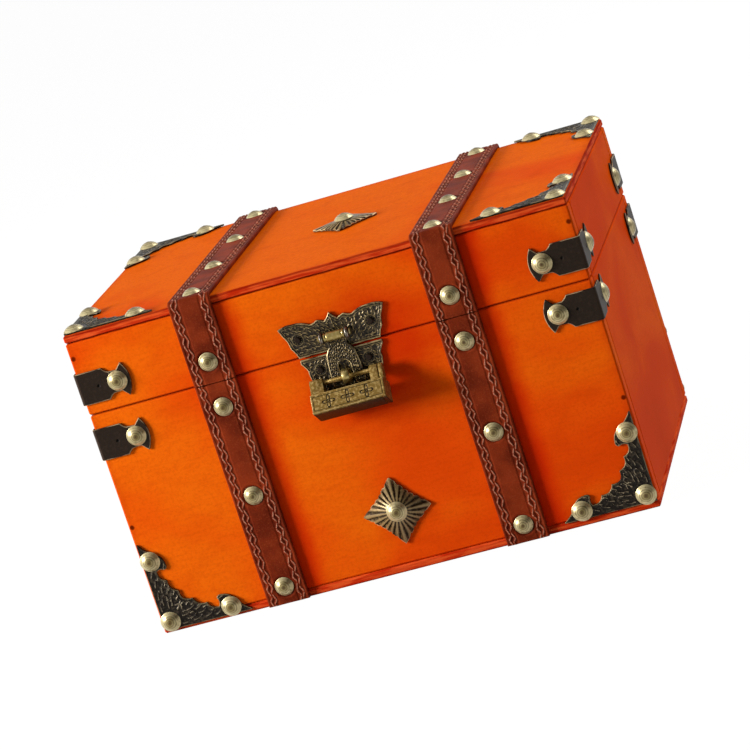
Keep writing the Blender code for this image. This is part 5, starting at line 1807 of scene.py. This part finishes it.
@dataclass
class Padlock:
    """The small bar padlock: case, engraved face, shackle and the leaf springs inside.

    Attributes:
        lean: Turn of the case about its bar, in radians.
        front, top: Distances of the case's face and top from the bar's middle.
        border: Distance of the engraved border from the edge, and its width.
        middle_ring: Radius and width of the ring in the middle of a rosette.
    """

    bench: Bench
    x: float = 2 * MM
    bar_height: float = 96.6 * MM
    bar_out: float = 4.6 * MM
    lean: float = math.radians(-32)
    width: float = 34.6 * MM
    front: float = 4.6 * MM
    top: float = 5.7 * MM
    body_height: float = 9.5 * MM
    face_inset: float = 0.4 * MM
    rosette_places: tuple[float, ...] = (-9 * MM, 0.0, 9 * MM)
    rosette_radius: float = 2.9 * MM
    line_width: float = 0.3 * MM
    border: Pair = (0.9 * MM, 0.12 * MM)
    middle_ring: Pair = (0.6 * MM, 0.26 * MM)
    cut_depth: float = 0.2 * MM
    case_bevel: float = 0.25 * MM
    bar_bevel: float = 0.2 * MM
    face_margin: float = 0.15 * MM
    face_overlap: float = 0.1 * MM
    face_thickness: float = 0.28 * MM
    face_rim: float = 0.12 * MM
    face_step: float = 0.22 * MM
    edge_step: float = 0.3 * MM

    @classmethod
    def under_plane(cls) -> tuple[float, float, float, float]:
        """Gives the plane of the case's underside, which the lock finish paints with shade: direction n and
        offset -n . p, with p on the plane.
        """
        way = turned("X", cls.lean)[:3, :3] @ (0, 0, -1)
        axis = np.array(on_face(Face.FRONT, cls.x, cls.bar_height, cls.bar_out))
        place = axis + way * (cls.top + cls.body_height)
        return *way.tolist(), -float(way @ place)

    def relief(self, points: np.ndarray, edge: np.ndarray) -> tuple[np.ndarray, np.ndarray]:
        """Engraves three four-leaved rosettes and a border line into the face."""
        cut = bell(edge, *self.border) * 0.5
        for x in self.rosette_places:
            away = points - (x, 0)
            radius, angle = np.hypot(*away.T), np.arctan2(away[:, 1], away[:, 0])
            petal = self.rosette_radius * (0.62 + 0.38 * np.cos(angle * 4))
            line = bell(radius, petal, self.line_width)
            cut = np.maximum(cut, np.maximum(line, bell(radius, *self.middle_ring)))
        return -self.cut_depth * cut, -cut * 2.5

    def build(self) -> None:
        """Makes the case, its face, the shackle and the springs."""
        self.bench.softened("lock_case_body", "lock_case", "lock_metal", self.case_bevel)
        self.bench.softened("lock_shackle_bar", "lock_shackle", "lock_metal", self.bar_bevel)
        corners = rectangle(
            self.width / 2 - self.face_margin, self.body_height / 2 - self.face_inset - self.face_overlap)
        outline = walked(corners, self.edge_step)
        face = Plate(outline, self.face_thickness, self.face_rim, self.face_step, self.relief).surface()
        place = (0, self.face_overlap - self.front, -self.top - self.body_height / 2)
        seat = (
            shifted(*on_face(Face.FRONT, self.x, self.bar_height, self.bar_out)) @ turned("X", self.lean)
            @ standing(Face.FRONT, place))
        self.bench.piece("lock_case_face", face.moved(seat), "lock_metal", "lock_case")
        self.bench.dress("lock_springs", "steel")


@dataclass
class Hinges:
    """The two butt hinges on the back."""

    bench: Bench
    bevel: float = 0.15 * MM

    def build(self) -> None:
        """Rounds the leaves' edges and gives the pins a steel finish."""
        for side in SIDES:
            for leaf in ("box", "lid"):
                node = f"hinge_leaf_{leaf}_{side}"
                self.bench.softened(node + "_metal", node, "lock_metal", self.bevel)
            self.bench.dress("hinge_pin_" + side, "steel")


@dataclass
class Studio:
    """White floor and surroundings, a key lamp low on the left, a softer one behind on the right, camera.

    Attributes:
        key_way, back_way: Directions from the box's middle to the lamps.
        surround: Strength of the grey light from all round.
        dim_way, dim_colour: Direction in which the seen surroundings are dim, and their colour there.
        glow: How bright the floor looks of itself.
    """

    camera_place: Triple = (0.37464, -1.58555, 0.43700)
    camera_turn: tuple[float, float, float, float] = (0.77958998, 0.60169624, 0.17086602, -0.03171601)
    lens: float = 168.976
    sensor_width: float = 36.0
    key_way: Triple = (-0.86, -0.42, 0.30)
    key_size: float = 0.45
    key_power: float = 35.5
    back_way: Triple = (0.52, 0.4, 0.58)
    back_size: float = 0.9
    back_power: float = 15.0
    lamp_distance: float = 1.6
    surround: float = 0.16
    dim_way: Triple = (0.75, -0.6, 0.3)
    dim_colour: Colour = (0.05, 0.045, 0.04, 1.0)
    floor_size: float = 12.0
    floor_drop: float = 0.2 * MM
    matt_colour: Colour = (0.5, 0.5, 0.5, 1.0)
    faint_colour: Colour = (0.06, 0.06, 0.06, 1.0)
    glow: float = 0.97

    def add_camera(self) -> None:
        """Places the camera at the photograph's viewing angle."""
        data = bpy.data.cameras.new("camera")
        data.lens = self.lens
        data.sensor_width = self.sensor_width
        camera = added("camera", data)
        camera.location = self.camera_place
        camera.rotation_mode = "QUATERNION"
        camera.rotation_quaternion = self.camera_turn
        bpy.context.scene.camera = camera

    def add_lamp(self, name: str, way: Sequence[float], size: float, power: float) -> None:
        """Hangs a square lamp that faces the box.

        Args:
            name: The lamp's name.
            way: Direction from the box to the lamp.
            size: Length of its sides.
            power: Its power in watts.
        """
        data = bpy.data.lights.new(name, "AREA")
        data.energy = power
        data.size = size
        lamp = added(name, data)
        direction = Vector(way).normalized()
        lamp.location = Vector((0, 0, BOX_HEIGHT / 2)) + direction * self.lamp_distance
        lamp.rotation_mode = "QUATERNION"
        lamp.rotation_quaternion = direction.to_track_quat("Z", "Y")

    def show(self, nodes: Nodes, output: str, lit: Value, seen: Value) -> None:
        """Feeds an output with one shader for light on surfaces and one for camera, mirror and glass rays.

        Args:
            nodes: The tree.
            output: Name of its output node.
            lit: The shader for light on surfaces.
            seen: The shader for the other rays.
        """
        camera, glossy, clear = (
            nodes.add("LightPath", {}, f"Is {kind} Ray") for kind in ("Camera", "Glossy", "Transmission"))
        both = nodes.add("MixShader", {0: camera.most(glossy).most(clear), 1: lit, 2: seen})
        nodes.feed(nodes.tree.nodes[output].inputs[0], both)

    def add_surround(self) -> None:
        """Makes the world white where seen, dim right of the camera, and grey light elsewhere."""
        world = bpy.data.worlds.new("surround")
        world.use_nodes = True
        bpy.context.scene.world = world
        nodes = Nodes(world.node_tree)
        nodes.tree.nodes.remove(nodes.tree.nodes["Background"])
        ways = {0: nodes.add("TexCoord", {}, "Generated"), 1: Vector(self.dim_way).normalized()}
        toward = nodes.add("VectorMath", ways, "Value", operation="DOT_PRODUCT")
        shade = nodes.mixed(nodes.ease(toward, 0.0, 1.0), WHITE, self.dim_colour)
        light = nodes.add("Background", {"Color": WHITE, "Strength": self.surround})
        self.show(nodes, "World Output", light, nodes.add("Background", {"Color": shade, "Strength": 1.0}))

    def add_floor(self) -> None:
        """Lays a pale floor that looks white and still takes the box's shadow."""
        mesh = bpy.data.meshes.new("floor")
        corners = rectangle(self.floor_size / 2, self.floor_size / 2)
        mesh.from_pydata(corners.tolist(), [], [range(len(corners))])
        floor = added("floor", mesh)
        floor.location.z = -self.floor_drop
        material = bpy.data.materials.new("floor")
        material.use_nodes = True
        nodes = Nodes(material.node_tree)
        nodes.tree.nodes.remove(nodes.tree.nodes["Principled BSDF"])
        matt = nodes.add("BsdfDiffuse", {"Color": self.matt_colour})
        faint = nodes.add("BsdfDiffuse", {"Color": self.faint_colour})
        bright = nodes.add("AddShader", {0: faint, 1: nodes.add("Emission", {"Strength": self.glow})})
        self.show(nodes, "Material Output", matt, bright)
        mesh.materials.append(material)

    def build(self) -> None:
        """Sets the scene up round the box."""
        self.add_camera()
        self.add_lamp("key_lamp", self.key_way, self.key_size, self.key_power)
        self.add_lamp("back_lamp", self.back_way, self.back_size, self.back_power)
        self.add_surround()
        self.add_floor()
        bpy.context.scene.view_settings.view_transform = "Standard"


def main() -> None:
    """Builds every sub-assembly in order."""
    logging.basicConfig(level=logging.INFO, format="%(name)s: %(message)s")
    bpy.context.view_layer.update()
    bench = Bench(make_materials(), Tacks())
    kinds = (Boards, Straps, Clips, CornerPlates, Medallions, Latch, Padlock, Hinges)
    for part in (Studio(), *(kind(bench) for kind in kinds)):
        LOG.info("building %s", type(part).__name__)
        part.build()


if __name__ == "__main__":
    main()
